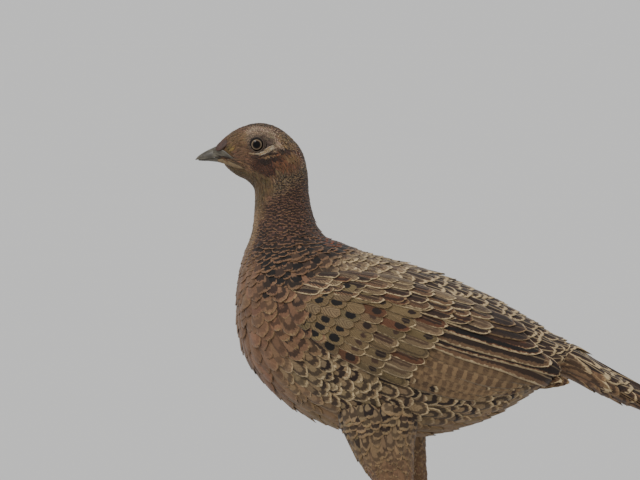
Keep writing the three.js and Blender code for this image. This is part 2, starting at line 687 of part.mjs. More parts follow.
function makeClaw(toe, side, reach) {
  const { end, way, radius } = toeLine(toe, side, reach);
  const across = new THREE.Vector3(-way.y, way.x, 0);
  const length = clawLength * (toe.name === "hind" ? 0.7 : toe.thick);
  const base = end.clone().addScaledVector(way, seam);
  const girth = radius * 0.62;
  const spine = [0, 0.4, 0.75, 1].map((t) => {
    const arch = 0.5 * Math.sin(Math.PI * t * 0.7) - (end.z - 0.35) * t * t;
    const at = base.clone().addScaledVector(way, length * t).setZ(end.z + arch);
    const first = t === 0 ? way : undefined;
    return { at, wide: girth * lerp(1, 0.16, t), deep: girth * lerp(1.15, 0.18, t), along: first };
  });
  return tube(spine, 6, across);
}

addPart("head", makeHead(), headFeather);
addPart("upper_bill", makeUpperBill(), horn);
addPart("lower_bill", makeLowerBill(), horn);
for (const [name, side] of [["left", -1], ["right", 1]]) {
  addPart(`eye_${name}`, sphere(eyeCentre(side), eyeRadius, [1, 1, 1], eyeDetail), eyeGlass);
}
addPart("neck", trunkLength(headEnd, neckEnd, 6, 26), neckFeather);
addPart("torso", torsoSolid(), bodyFeather);
addPart("tail", makeTail(), tailFeather);

const wing = makeWing();
addPart("wing_left", wing, wingFeather);
const rightSide = new THREE.Group();
rightSide.scale.y = -1; // the right wing mirrors the left
group.add(rightSide);
addPart("wing_right", wing, wingFeather, rightSide);

for (const [name, side, reach] of [["left", -1, -stride], ["right", 1, stride]]) {
  addPart(`thigh_${name}`, makeThigh(side, reach), thighFeather);
  addPart(`shank_${name}`, makeShank(side, reach), legScale);
  addPart(`foot_${name}`, makeFoot(side, reach), legScale);
  for (const toe of toes) addPart(`claw_${toe.name}_${name}`, makeClaw(toe, side, reach), horn);
}

// The part's origin is on the floor, below the middle of its length.
const box = new THREE.Box3().setFromObject(group);
group.position.x = -(box.min.x + box.max.x) / 2;
group.updateMatrixWorld(true);

export default group;
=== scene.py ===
# A hen common pheasant, life size: one skin, feathers laid over it in tracts, bill, eyes, legs and feet.
# Lengths are millimetres, with X = 0 at the centre of the eye and Z = 0 on the floor, and become metres as
# each mesh is made. The bird faces -X, and its left side is towards -Y.
import math
import bpy
import numpy as np
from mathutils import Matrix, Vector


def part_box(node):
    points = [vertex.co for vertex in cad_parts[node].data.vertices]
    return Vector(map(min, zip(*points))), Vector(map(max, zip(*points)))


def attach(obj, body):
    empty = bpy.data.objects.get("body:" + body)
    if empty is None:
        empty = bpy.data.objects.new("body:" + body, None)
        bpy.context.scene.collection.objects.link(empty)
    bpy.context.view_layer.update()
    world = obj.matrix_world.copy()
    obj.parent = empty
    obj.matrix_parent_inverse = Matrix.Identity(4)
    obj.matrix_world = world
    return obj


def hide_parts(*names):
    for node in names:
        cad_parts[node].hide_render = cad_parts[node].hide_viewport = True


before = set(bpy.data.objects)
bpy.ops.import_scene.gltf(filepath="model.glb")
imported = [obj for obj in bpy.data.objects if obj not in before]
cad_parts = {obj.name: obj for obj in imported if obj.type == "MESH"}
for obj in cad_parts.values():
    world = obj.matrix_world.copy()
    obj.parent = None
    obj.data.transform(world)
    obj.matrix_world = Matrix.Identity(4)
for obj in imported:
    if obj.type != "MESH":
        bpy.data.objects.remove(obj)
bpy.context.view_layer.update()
print("solids loaded:", len(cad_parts))

mm = 0.001
eyeLow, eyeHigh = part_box("eye_left")
origin = np.array([(eyeLow[0] + eyeHigh[0]) / 2, 0.0, 0.0])  # X = 0 of the outline, in metres
eyeHeight = (eyeLow[2] + eyeHigh[2]) / 2 / mm
eyeRadius = (eyeHigh[2] - eyeLow[2]) / 2 / mm
eyeAside = -(eyeLow[1] + eyeHigh[1]) / 2 / mm
bothSides = ((-1, "Left"), (1, "Right"))
fullTurn = 2 * np.pi
draw = np.random.default_rng(11)


def inMetres(points):
    return np.asarray(points, float) * mm + origin


def smooth(low, high, value):  # 0 below low, 1 above high, and an even curve between
    t = np.clip((value - low) / (high - low), 0, 1)
    return t * t * (3 - 2 * t)


def linear(*rgb):  # a colour as seen on a screen, 0 to 255, to the amounts of light that Blender mixes
    c = np.array(rgb, float) / 255
    return np.where(c <= 0.04045, c / 12.92, ((c + 0.055) / 1.055) ** 2.4)


def aboutOne(spread, least, most, size):  # random factors
    return draw.normal(1, spread, size).clip(least, most)


def screenColour(*rgb):
    return tuple(linear(*rgb))


def deselect():
    bpy.ops.object.select_all(action="DESELECT")


# Camera: level with the bird's breast and square to its left side
view = {
    "centre": (41, 246.6),  # X and Z at the middle of the picture
    "width": 416,  # of the bird's plane that the picture shows
    "distance": 3200,
    "elevation": 2.5,
    "sensor": 36,
}
aim = inMetres((view["centre"][0], 0, view["centre"][1]))
tilt = math.radians(view["elevation"])
back = view["distance"] * mm
place = aim + back * np.array([0, -math.cos(tilt), math.sin(tilt)])
bpy.ops.object.camera_add(location=place, rotation=(math.pi / 2 - tilt, 0, 0))
camera = bpy.context.object
camera.data.sensor_width = view["sensor"]
camera.data.lens = view["sensor"] * view["distance"] / view["width"]
camera.data.clip_end = 100
bpy.context.scene.camera = camera
print("camera set")


# Node helpers
def newMaterial(name):
    material = bpy.data.materials.new(name)
    material.use_nodes = True
    tree = material.node_tree
    shader = tree.nodes["Principled BSDF"]
    return material, tree, shader


def put(tree, kind, inputs=None, **settings):  # adds a node, sets it up, and links or sets its inputs
    node = tree.nodes.new(kind)
    for key, value in settings.items():
        setattr(node, key, value)
    for key, value in (inputs or {}).items():
        if isinstance(value, bpy.types.NodeSocket):
            tree.links.new(value, node.inputs[key])
        else:
            node.inputs[key].default_value = value
    return node


def calc(tree, operation, a, b=0.0, c=0.0):
    return put(tree, "ShaderNodeMath", {0: a, 1: b, 2: c}, operation=operation).outputs[0]


def step(tree, value, low, high):  # 0 below low, 1 above high
    inputs = {"Value": value, "From Min": low, "From Max": high}
    return put(tree, "ShaderNodeMapRange", inputs, interpolation_type="SMOOTHSTEP").outputs[0]


def blend(tree, amount, a, b, kind="MIX"):
    node = put(tree, "ShaderNodeMix", data_type="RGBA", blend_type=kind)
    for slot, value in ((0, amount), (6, a), (7, b)):
        if isinstance(value, bpy.types.NodeSocket):
            tree.links.new(value, node.inputs[slot])
        else:
            node.inputs[slot].default_value = value if slot == 0 else (*value, 1)
    return node.outputs[2]


def noise(tree, vector, scale, detail=2.0, rough=0.5):
    inputs = {"Vector": vector, "Scale": scale, "Detail": detail, "Roughness": rough}
    return put(tree, "ShaderNodeTexNoise", inputs).outputs["Fac"]


def objectPlace(tree):
    return put(tree, "ShaderNodeTexCoord").outputs["Object"]


def bump(tree, shader, height, strength, distance):
    node = put(tree, "ShaderNodeBump", {"Height": height, "Strength": strength, "Distance": distance})
    tree.links.new(node.outputs[0], shader.inputs["Normal"])


def setShader(shader, **values):
    names = {"roughness": "Roughness", "specular": "Specular IOR Level", "sheen": "Sheen Weight",
             "coat": "Coat Weight", "coatRoughness": "Coat Roughness", "ior": "IOR",
             "sheenRoughness": "Sheen Roughness", "subsurface": "Subsurface Weight"}
    for key, value in values.items():
        shader.inputs[names[key]].default_value = value


# Feather finish: colours and marks come from the feather's own attributes, laid out along and across it
vane = {
    "length": 100, "slender": 20, "bars": 100,  # the attributes hold these measures divided by these numbers
    "mottle": 420, "wobble": 0.5,  # scale and depth of the cloud that makes each mark uneven
    "tipTurn": 1.3,  # how far a mark turns round the tip
    "slant": -0.35, "barbs": (1.5, 1.4, 3), "barbDepth": 0.24,
    "markSoft": 0.05, "rimSoft": 0.07, "rimFrom": 1.0,
    "spotAt": 1.05, "spotSize": 0.34, "spotWobble": 1.1, "spotSoft": 0.06, "spotLeast": (0.04, 0.1),
    "wave": 2.5, "waveWobble": 11, "waveEdge": (-0.1, 0.5),
    "barWobble": 4.0, "barEdge": (0.05, 0.45), "shaftEdge": (0.03, 0.1),
    "barbShade": (1.1, 0.45), "cloud": 60, "cloudShade": (0.4, 0.8),
}


def plumageMaterial():
    material, tree, shader = newMaterial("plumage")
    read = lambda key: put(tree, "ShaderNodeAttribute", attribute_name=key)
    times = lambda a, b: calc(tree, "MULTIPLY", a, b)
    less = lambda a, b: calc(tree, "SUBTRACT", a, b)
    plus = lambda a, b: calc(tree, "ADD", a, b)
    power = lambda a, b: calc(tree, "POWER", a, b)
    timesPlus = lambda a, b, c: calc(tree, "MULTIPLY_ADD", a, b, c)
    over = lambda value, edge, soft: step(tree, less(value, edge), -soft, soft)
    base, edging, marking, field, fine = (read(key) for key in ("ground", "rim", "mark", "field", "fine"))
    ground, rim, mark = (node.outputs["Color"] for node in (base, edging, marking))
    length = times(base.outputs["Alpha"], vane["length"])  # of the feather, in millimetres
    slender = times(edging.outputs["Alpha"], vane["slender"] * vane["tipTurn"])
    slender = calc(tree, "MAXIMUM", slender, vane["tipTurn"])
    spot = marking.outputs["Alpha"]
    inner, outer, strength = put(tree, "ShaderNodeSeparateColor", {0: field.outputs["Color"]}).outputs[:3]
    rimWidth = field.outputs["Alpha"]
    wavy, bars, shaft = put(tree, "ShaderNodeSeparateColor", {0: fine.outputs["Color"]}).outputs[:3]
    barCount = fine.outputs["Alpha"]
    barb = put(tree, "ShaderNodeUVMap", uv_map="Barb").outputs[0]
    across, along, _ = put(tree, "ShaderNodeSeparateXYZ", {0: barb}).outputs
    across = calc(tree, "ABSOLUTE", timesPlus(across, 2, -1))
    place = objectPlace(tree)
    patch = noise(tree, place, vane["mottle"], 3, 0.6)
    wobble = timesPlus(patch, vane["wobble"], -vane["wobble"] / 2)
    # depth: 0 in the middle of the feather, 1 at its edge
    fromTip = times(less(1, along), slender)
    tipward = calc(tree, "MAXIMUM", less(1, fromTip), 0)
    depth = power(plus(power(across, 4), power(tipward, 4)), 0.25)
    ragged = plus(depth, wobble)
    # barbs run slantwise from the shaft to the edge
    run = times(timesPlus(across, vane["slant"], along), length)  # millimetres along the barbs' roots
    barbs = [times(value, pitch) for value, pitch in zip((run, across, patch), vane["barbs"])]
    grain = noise(tree, put(tree, "ShaderNodeCombineXYZ", dict(enumerate(barbs))).outputs[0], 1.0, 3, 0.6)
    ragged = plus(ragged, timesPlus(grain, vane["barbDepth"], -vane["barbDepth"] / 2))
    isMark = times(over(ragged, inner, vane["markSoft"]), less(1, over(ragged, outer, vane["markSoft"])))
    isMark = times(isMark, strength)
    isRim = over(plus(ragged, rimWidth), vane["rimFrom"], vane["rimSoft"])
    # an oval before the tip, as long as it is wide
    oval = plus(power(across, 2), power(less(fromTip, vane["spotAt"]), 2))
    oval = plus(oval, times(wobble, vane["spotWobble"]))
    isSpot = less(1, over(oval, times(spot, vane["spotSize"]), vane["spotSoft"]))
    isSpot = times(isSpot, step(tree, spot, *vane["spotLeast"]))
    # wavy lines across the feather, and broad bars on the flight and tail feathers
    ripple = calc(tree, "SINE", timesPlus(run, vane["wave"], times(patch, vane["waveWobble"])))
    isWave = times(step(tree, ripple, *vane["waveEdge"]), wavy)
    phase = timesPlus(patch, vane["barWobble"], times(along, times(barCount, vane["bars"] * fullTurn)))
    isBar = times(step(tree, calc(tree, "SINE", phase), *vane["barEdge"]), bars)
    isShaft = times(less(1, step(tree, across, *vane["shaftEdge"])), shaft)
    colour = ground
    for amount in (isWave, isBar, isMark, isSpot):
        colour = blend(tree, amount, colour, mark)
    for amount in (isRim, isShaft):
        colour = blend(tree, amount, colour, rim)
    cloud = noise(tree, place, vane["cloud"])
    shade = times(timesPlus(grain, *vane["barbShade"]), timesPlus(cloud, *vane["cloudShade"]))
    grey = put(tree, "ShaderNodeCombineColor", {0: shade, 1: shade, 2: shade}).outputs[0]
    colour = blend(tree, 1.0, colour, grey, "MULTIPLY")
    tree.links.new(colour, shader.inputs["Base Color"])
    setShader(shader, roughness=0.72, specular=0.28, sheen=0.12, sheenRoughness=0.5)
    bump(tree, shader, grain, 0.45, 0.0004)
    return material


def skinMaterial():
    material, tree, shader = newMaterial("skin")
    ground = put(tree, "ShaderNodeAttribute", attribute_name="ground").outputs["Color"]
    place = objectPlace(tree)
    pores = put(tree, "ShaderNodeTexVoronoi", {"Vector": place, "Scale": 1500.0}).outputs["Distance"]
    patchy = step(tree, noise(tree, place, 300, 4), 0.35, 0.7)
    colour = blend(tree, patchy, ground, (0.75, 0.7, 0.66), "MULTIPLY")
    tree.links.new(colour, shader.inputs["Base Color"])
    setShader(shader, roughness=0.65, specular=0.3)
    bump(tree, shader, pores, 0.5, 0.0003)
    return material


# The trunk: flat sections through the back outline and the throat or belly outline
stations = np.array([
    # back X and Z, belly X and Z, half width, level of the widest place, exponents above and below it
    (-25.9, 307.8, -21.8, 296.4, 5.6, 0.45, 2.0, 2.2),  # root of the bill
    (-20.6, 313.2, -17.6, 292.4, 8.2, 0.47, 2.0, 2.2),
    (-12.2, 318.8, -12.6, 288.7, 11.4, 0.50, 2.2, 2.2),
    (-0.5, 322.3, -7.6, 286.4, 13.8, 0.50, 2.3, 2.2),  # over the eye
    (11.0, 320.6, -3.6, 283.2, 15.0, 0.47, 2.3, 2.2),
    (21.6, 313.4, -1.3, 279.4, 15.4, 0.47, 2.2, 2.2),  # nape
    (29.2, 303.6, -0.9, 275.0, 15.4, 0.50, 2.1, 2.1),
    (32.4, 291.0, -0.9, 270.4, 15.8, 0.50, 2.0, 2.0),  # top of the neck
    (33.2, 278.6, -1.3, 265.0, 16.6, 0.50, 2.0, 2.0),
    (34.9, 267.4, -1.8, 257.8, 18.2, 0.50, 2.0, 2.0),
    (38.2, 256.8, -3.6, 248.4, 21.4, 0.50, 2.0, 2.1),  # foot of the neck
    (44.4, 248.2, -7.8, 237.0, 27.5, 0.50, 2.0, 2.1),
    (55.4, 243.6, -10.9, 223.6, 35.0, 0.48, 2.1, 2.1),  # shoulders
    (69.0, 237.9, -12.2, 208.0, 41.0, 0.46, 2.1, 2.1),
    (85.0, 233.4, -11.4, 188.4, 45.5, 0.46, 2.2, 2.1),  # breast
    (103.0, 228.4, -4.0, 166.4, 48.0, 0.46, 2.2, 2.1),
    (123.0, 221.4, 17.0, 143.6, 48.5, 0.46, 2.2, 2.1),
    (143.0, 212.8, 48.0, 126.4, 46.5, 0.46, 2.1, 2.0),  # belly
    (162.0, 203.0, 84.0, 119.0, 42.0, 0.48, 2.1, 2.0),
    (179.0, 192.6, 120.0, 122.0, 35.0, 0.50, 2.0, 2.0),
    (193.0, 184.0, 152.0, 132.6, 27.0, 0.52, 2.0, 2.0),  # rump and vent
    (203.0, 178.2, 177.0, 147.4, 20.0, 0.54, 2.0, 2.0),
    (210.0, 174.4, 194.0, 159.4, 15.5, 0.56, 2.0, 2.0),  # root of the tail
    (242.8, 153.2, 237.7, 141.2, 14.5, 0.56, 2.0, 2.0),
    (288.4, 132.7, 285.5, 125.8, 13.0, 0.56, 2.0, 2.0),  # last of the tail coverts
])
tailStation = 22
lastStation = len(stations) - 1
searchSteps = 22


def alongTable(table, s):  # a smooth curve through the rows of a table
    held = np.clip(s, 0, len(table) - 1)
    i = np.minimum(held.astype(int), len(table) - 2)
    t = (held - i)[..., None]
    a, b, c, d = (table[np.clip(i + k, 0, len(table) - 1)] for k in (-1, 0, 1, 2))
    curve = (2 * a - 5 * b + 4 * c - d) * t ** 2 + (3 * b - a - 3 * c + d) * t ** 3
    return 0.5 * (2 * b + (c - a) * t + curve)


# Angle 0 is the back and half a turn the belly. Grow moves the point outwards.
def trunkPoint(s, angle, grow=0.0):
    k = alongTable(stations, s)
    backX, backZ, bellyX, bellyZ, half, level, top, bottom = np.moveaxis(k, -1, 0)
    up, out = np.cos(angle), np.sin(angle)
    power = 2 / np.where(up >= 0, top, bottom)
    rise = np.sign(up) * np.abs(up) ** power
    height = np.hypot(backX - bellyX, backZ - bellyZ)
    share = level + np.where(up >= 0, 1 - level, level) * rise + grow * rise / height
    aside = np.sign(out) * np.abs(out) ** power * (half + grow)
    return np.stack([bellyX + share * (backX - bellyX), aside, bellyZ + share * (backZ - bellyZ)], -1)


# The closed wing lies on the side of the trunk: along runs back from the bend, and up is square to it
wing = {
    "slope": 22,
    "bend": (24, 206),
    "thick": 3.8,
    "rim": 1.0,
    "fill": (0.12, 0.9), "thinning": (0.75, 0.45),  # how thickness grows from the bend, and falls behind
    "margin": 4, "lead": 8, "marginSoft": 12,  # round the outline, where the wing sinks into the trunk
    "facing": (0.25, 0.6), "behind": (21.5, 19.5),  # only what faces sideways gets thicker, and not the tail
    "leastHalf": 15,
    "blend": 5,
    # along, top edge and foot edge
    "outline": np.array([(-2, 6, -5), (6, 24, -12), (24, 36.5, -19), (50, 42, -22), (80, 43.5, -20),
                         (108, 42, -14), (132, 37, -4), (150, 32, 8)]),
}
slopeAngle = math.radians(wing["slope"])
wingAlong = np.array([math.cos(slopeAngle), -math.sin(slopeAngle)])
wingUp = np.array([math.sin(slopeAngle), math.cos(slopeAngle)])


def trunkHalf(x, z):  # half the trunk's width at a place in its side view, 0 outside its outline
    low = np.zeros(x.shape)
    high = np.full(x.shape, float(tailStation))
    for _ in range(searchSteps):
        middle = (low + high) / 2
        k = alongTable(stations, middle)
        side = (x - k[..., 2]) * (k[..., 1] - k[..., 3]) - (z - k[..., 3]) * (k[..., 0] - k[..., 2])
        low, high = np.where(side > 0, middle, low), np.where(side > 0, high, middle)
    k = alongTable(stations, low)
    runX, runZ = k[..., 0] - k[..., 2], k[..., 1] - k[..., 3]
    share = ((x - k[..., 2]) * runX + (z - k[..., 3]) * runZ) / (runX ** 2 + runZ ** 2)
    above = share >= k[..., 5]
    rise = np.abs(share - k[..., 5]) / np.where(above, 1 - k[..., 5], k[..., 5])
    power = np.where(above, k[..., 6], k[..., 7])
    return k[..., 4] * np.maximum(1 - np.minimum(rise, 1) ** power, 0) ** (1 / power)


# Half widths of the trunk on a grid over its side view, drawn smoothly out to a least width
sideStep = 1.5
sideX, sideZ = np.arange(-30, 262, sideStep), np.arange(95, 275, sideStep)
gridX, gridZ = np.meshgrid(sideX, sideZ, indexing="ij")
gap = trunkHalf(gridX, gridZ) - wing["leastHalf"]
sideGrid = wing["leastHalf"] + (gap + np.sqrt(gap ** 2 + wing["blend"] ** 2)) / 2


def wingSide(x, z):  # distance of the wing's bed from the middle of the bird
    i = np.clip((x - sideX[0]) / sideStep, 0, len(sideX) - 1.001)
    j = np.clip((z - sideZ[0]) / sideStep, 0, len(sideZ) - 1.001)
    a, b = i.astype(int), j.astype(int)
    u, v = i - a, j - b
    near = sideGrid[a, b] * (1 - u) + sideGrid[a + 1, b] * u
    return near * (1 - v) + (sideGrid[a, b + 1] * (1 - u) + sideGrid[a + 1, b + 1] * u) * v


def wingThickness(along, up):  # how far the closed wing stands off the trunk
    a, top, foot = wing["outline"].T
    share = np.interp(along, a, np.linspace(0, 1, len(a)))
    high, low = np.interp(along, a, top), np.interp(along, a, foot)
    v = np.clip((high - up) / (high - low), 0, 1)
    crown = np.sqrt(1 - (2 * v - 1) ** 2)
    start, rate = wing["fill"]
    thin, thinFrom = wing["thinning"]
    fill = np.sin(np.pi * np.minimum(0.5, start + share * rate)) * (1 - thin * smooth(thinFrom, 1, share))
    edge = np.minimum(high + wing["margin"] - up, up - low + wing["margin"])
    edge = np.minimum(edge, along + wing["lead"])
    return (wing["rim"] + wing["thick"] * crown * fill) * smooth(0, wing["marginSoft"], edge)


def offWing(along, up):  # the place in the side view of a place on the wing
    x = wing["bend"][0] + along * wingAlong[0] + up * wingUp[0]
    return x, wing["bend"][1] + along * wingAlong[1] + up * wingUp[1]


def wingPlace(along, up, side):
    x, z = offWing(along, up)
    reach = 3.0
    slopeX = (wingSide(x + reach, z) - wingSide(x - reach, z)) / (2 * reach)
    slopeZ = (wingSide(x, z + reach) - wingSide(x, z - reach)) / (2 * reach)
    normal = np.stack([-slopeX, np.ones(x.shape), -slopeZ], -1)
    normal /= np.linalg.norm(normal, axis=-1, keepdims=True)
    point = np.stack([x, wingSide(x, z), z], -1) + normal * wingThickness(along, up)[..., None]
    return point * (1, side, 1)


def onWing(x, z):  # where a place in the side view lies on the wing
    dx, dz = x - wing["bend"][0], z - wing["bend"][1]
    return dx * wingAlong[0] + dz * wingAlong[1], dx * wingUp[0] + dz * wingUp[1]


def bodyPoint(s, angle, grow=0.0):  # the trunk with its closed wings
    point = trunkPoint(s, angle, grow)
    centre = trunkPoint(s, angle * 0 + np.pi / 2) * (1, 0, 1)
    out = point - centre
    out /= np.maximum(np.linalg.norm(out, axis=-1, keepdims=True), 1e-6)
    along, up = onWing(point[..., 0], point[..., 2])
    sideways = smooth(*wing["facing"], np.abs(out[..., 1])) * smooth(*wing["behind"], s)
    return point + out * (wingThickness(along, up) * sideways)[..., None]


# Legs: x, distance from the middle of the bird, z, and the share of the stride that moves each point, which
# sets the left leg ahead of the right
leg = {
    "stride": 7,
    "points": {"hip": (80, 24, 146, 0.4), "knee": (87, 26, 114, 0.6), "ankle": (103, 26, 66, 0.8),
               "ball": (88, 26, 0, 1)},
}

# Rows of the thigh's sleeve: the two points each lies between, share of the way, half width and half depth
sleeve = (
    ("hip", "hip", 0, 17, 27), ("hip", "knee", 0.5, 17, 25), ("knee", "knee", 0, 14, 19.5),
    ("knee", "ankle", 0.35, 10.5, 13.5), ("knee", "ankle", 0.7, 7.4, 8.8), ("ankle", "ankle", 0, 5.4, 6.2),
    ("ankle", "ball", 0.2, 4.4, 5.0),
)


def legPoints(side):
    reach = side * leg["stride"]
    return {key: np.array([x + reach * share, side * aside, z], float)
            for key, (x, aside, z, share) in leg["points"].items()}


def thighPoint(side, t, angle, grow=0.0):  # t counts the rows of the sleeve; angle 0 is the front
    k = legPoints(side)
    rows = [(*(k[a] * (1 - f) + k[b] * f), wide, deep) for a, b, f, wide, deep in sleeve]
    table = np.array(rows, float)
    centre = alongTable(table, t)
    inner = np.clip(t, 0.1, len(rows) - 1.1)  # past the last row there is no direction to take
    ahead = alongTable(table, inner + 0.05)[..., :3] - alongTable(table, inner - 0.05)[..., :3]
    ahead /= np.linalg.norm(ahead, axis=-1, keepdims=True)
    deep = np.cross(ahead, (0, 1, 0))
    deep /= np.linalg.norm(deep, axis=-1, keepdims=True)
    deep *= np.sign(deep[..., :1]) * -1
    wide = (centre[..., 3] + grow) * np.sin(angle)
    far = (centre[..., 4] + grow) * np.cos(angle)
    return centre[..., :3] + deep * far[..., None] + wide[..., None] * np.array([0, side, 0])


# Tail: feathers lie along a straight line from its root and droop a little towards their tips
tail = {"root": (205, 166.5), "slope": 23, "length": 222, "droop": 7, "pairs": 9, "pitch": 1.25}
tailAngle = math.radians(tail["slope"])


def tailPlace(along, across, height):
    lift = height - tail["droop"] * (np.maximum(along, 0) / tail["length"]) ** 2
    x = tail["root"][0] + along * math.cos(tailAngle) + lift * math.sin(tailAngle)
    z = tail["root"][1] - along * math.sin(tailAngle) + lift * math.cos(tailAngle)
    return np.stack([x, across, z], -1)


# Colours of the plumage, as seen on a screen
hue = {
    "cream": (188, 166, 130), "buff": (142, 116, 84), "tan": (118, 90, 66), "pinkTan": (118, 88, 66),
    "rufous": (102, 66, 44), "chestnut": (92, 47, 32), "orange": (150, 70, 36), "umber": (66, 47, 36),
    "vinous": (95, 66, 55), "dark": (38, 25, 19), "black": (18, 13, 11), "grey": (100, 86, 68),
    "olive": (86, 70, 46), "white": (160, 149, 131), "pale": (124, 100, 72), "slate": (122, 104, 86),
    "ochre": (104, 80, 55), "yellow": (114, 93, 54), "liver": (72, 47, 35), "sand": (132, 112, 84),
    "dawn": (178, 153, 132), "shell": (190, 170, 148), "oliveBuff": (120, 101, 71), "ring": (76, 62, 52),
    "cheek": (100, 76, 57),
}
plumageTone = np.tile((0.94, 0.92, 0.87), 3)  # of ground, rim and mark


# A feather's look. Field: where the dark mark begins and ends, from 0 in the middle to 1 at the edge, its
# strength and the rim's width. Fine: strength of wavy lines, of bars and of the pale shaft, and the number
# of bars in hundreds. Spot: strength of a dark oval before the tip.
def look(ground, rim, mark, field=(0, 0, 0, 0), fine=(0, 0, 0, 0), spot=0):
    colours = np.concatenate([linear(*hue[key]) for key in (ground, rim, mark)])
    return np.concatenate([colours * plumageTone, field, fine, [spot]])


lookSize = len(look("tan", "tan", "tan"))
column = {"colours": slice(0, 9), "ground": slice(0, 3), "edges": slice(9, 11), "mark": 11, "bars": 16,
          "spot": 17}


# Looks of the trunk, painted one over another: the stations and the degrees from the back that each covers
tracts = [
    ((-1, 30), (0, 180), look("tan", "buff", "umber", (0.5, 0.8, 0.5, 0.12))),
    ((5.6, 7.6), (0, 110), look("grey", "buff", "dark", (0.3, 0.78, 0.85, 0.14))),
    ((7.0, 10.8), (0, 150), look("vinous", "tan", "dark", (0.38, 0.84, 0.95, 0.09))),
    ((5.4, 8.4), (128, 180), look("olive", "pale", "umber", (0.5, 0.8, 0.25, 0.1))),
    ((7.4, 10.4), (146, 180), look("pale", "buff", "umber", (0.5, 0.8, 0.3, 0.1))),
    ((10.4, 12.9), (0, 140), look("pinkTan", "tan", "black", (0.28, 0.82, 1.0, 0.09))),
    ((10.5, 11.3), (8, 34), look("chestnut", "orange", "black", (0.5, 0.8, 0.9, 0.1))),
    ((12.0, 14.6), (0, 62), look("sand", "cream", "umber", (0.2, 0.5, 0.8, 0.16), (0.7, 0, 0.2, 0))),
    ((12.6, 15.2), (62, 140), look("pinkTan", "buff", "dark", (0.3, 0.66, 0.7, 0.08))),
    ((11.0, 16.0), (128, 180), look("pinkTan", "tan", "umber", (0.5, 0.8, 0.25, 0.10))),
    ((14.4, 22), (0, 70), look("umber", "cream", "dark", (0.0, 0.5, 0.8, 0.26), (0.7, 0, 0.6, 0))),
    ((14.8, 21), (70, 140), look("sand", "cream", "dark", (0.36, 0.7, 0.9, 0.13), (0.2, 0, 0, 0))),
    ((15.6, 22), (138, 180), look("pale", "buff", "umber", (0.5, 0.8, 0.25, 0.1))),
    ((21.4, 30), (0, 100), look("umber", "cream", "dark", (0.0, 0.45, 0.9, 0.25), (0.7, 0, 0.6, 0))),
    ((21.0, 30), (100, 180), look("tan", "buff", "dark", (0.3, 0.66, 0.7, 0.12))),
    ((2.2, 6.0), (24, 66), look("dawn", "shell", "umber", (0.2, 0.62, 0.66, 0.16))),  # over the eye
    ((1.4, 6.0), (0, 27), look("tan", "buff", "black", (0.1, 0.74, 0.95, 0.12))),  # crown
    ((4.0, 6.2), (14, 44), look("chestnut", "dawn", "dark", (0.15, 0.6, 0.8, 0.2))),  # nape
    ((-1, 2.2), (0, 40), look("rufous", "buff", "liver", (0.2, 0.7, 0.8, 0.1))),  # forehead
]

# Patches of the head in the side view, painted one over another: centre from the eye, half sizes and turn
headPatches = [
    ((-14, 1.5), (7.5, 6), 0, look("ochre", "buff", "umber", (0.4, 0.75, 0.35, 0.1))),
    ((-18.2, -3.6), (1.9, 2.5), 0, look("yellow", "yellow", "umber")),  # lore spot
    ((18, 4), (8, 4.5), -25, look("buff", "sand", "dark", (0.2, 0.7, 0.8, 0.1))),
    ((17, -9.5), (10, 5.8), -12, look("rufous", "ochre", "umber", (0.4, 0.8, 0.5, 0.1))),
    ((21.5, -6.6), (6, 3.2), -14, look("ochre", "buff", "rufous", (0.4, 0.8, 0.3, 0.1))),
    ((-8, -7), (8, 5), -14, look("cheek", "pinkTan", "liver", (0.4, 0.8, 0.4, 0.1))),
    ((2.5, -13.5), (9, 5), -22, look("liver", "rufous", "dark", (0.4, 0.8, 0.6, 0.1))),
    ((-14, -15.5), (7.5, 3.2), -38, look("olive", "pale", "umber")),  # chin
    ((1, -23), (11, 5.5), -25, look("olive", "ochre", "umber", (0.4, 0.8, 0.3, 0.1))),
    ((15.5, -2.2), (6, 1.7), -8, look("umber", "liver", "dark", (0.3, 0.8, 0.6, 0))),
    ((5.5, -8.4), (9, 1.8), 12, look("dark", "liver", "dark")),  # line under the white
    ((1.5, 3.0), (10.5, 6.4), 0, look("slate", "dawn", "umber", (0.3, 0.7, 0.45, 0.1))),
    ((1.2, 0.6), (8.2, 6.0), 0, look("ring", "slate", "dark")),  # round the eye
]
fade = {"stations": 0.5, "degrees": 13, "patch": (1.25, 0.8), "head": (7.4, 5.8)}  # soft edges of the looks


def paintAt(s, angle):  # the look of the plumage at places on the trunk
    degrees = np.degrees(np.abs(np.angle(np.exp(1j * angle))))
    paint = np.zeros(s.shape + (lookSize,))
    soft, turnSoft = fade["stations"], fade["degrees"]
    for (first, last), (low, high), feather in tracts:
        low = -180 if low == 0 else low  # a tract that starts at the back has no edge there
        high = 360 if high == 180 else high
        weight = smooth(first - soft, first + soft, s) * smooth(last + soft, last - soft, s)
        weight = weight * smooth(low - turnSoft, low + turnSoft, degrees)
        weight = (weight * smooth(high + turnSoft, high - turnSoft, degrees))[..., None]
        paint = paint * (1 - weight) + feather * weight
    point = trunkPoint(s, angle)
    x, z = point[..., 0], point[..., 2] - eyeHeight
    onHead = smooth(*fade["head"], s)
    for at, size, turn, feather in headPatches:
        turn = math.radians(turn)
        dx, dz = x - at[0], z - at[1]
        u = (dx * math.cos(turn) + dz * math.sin(turn)) / size[0]
        v = (dz * math.cos(turn) - dx * math.sin(turn)) / size[1]
        weight = (smooth(*fade["patch"], np.hypot(u, v)) * onHead)[..., None]
        paint = paint * (1 - weight) + feather * weight
    return paint


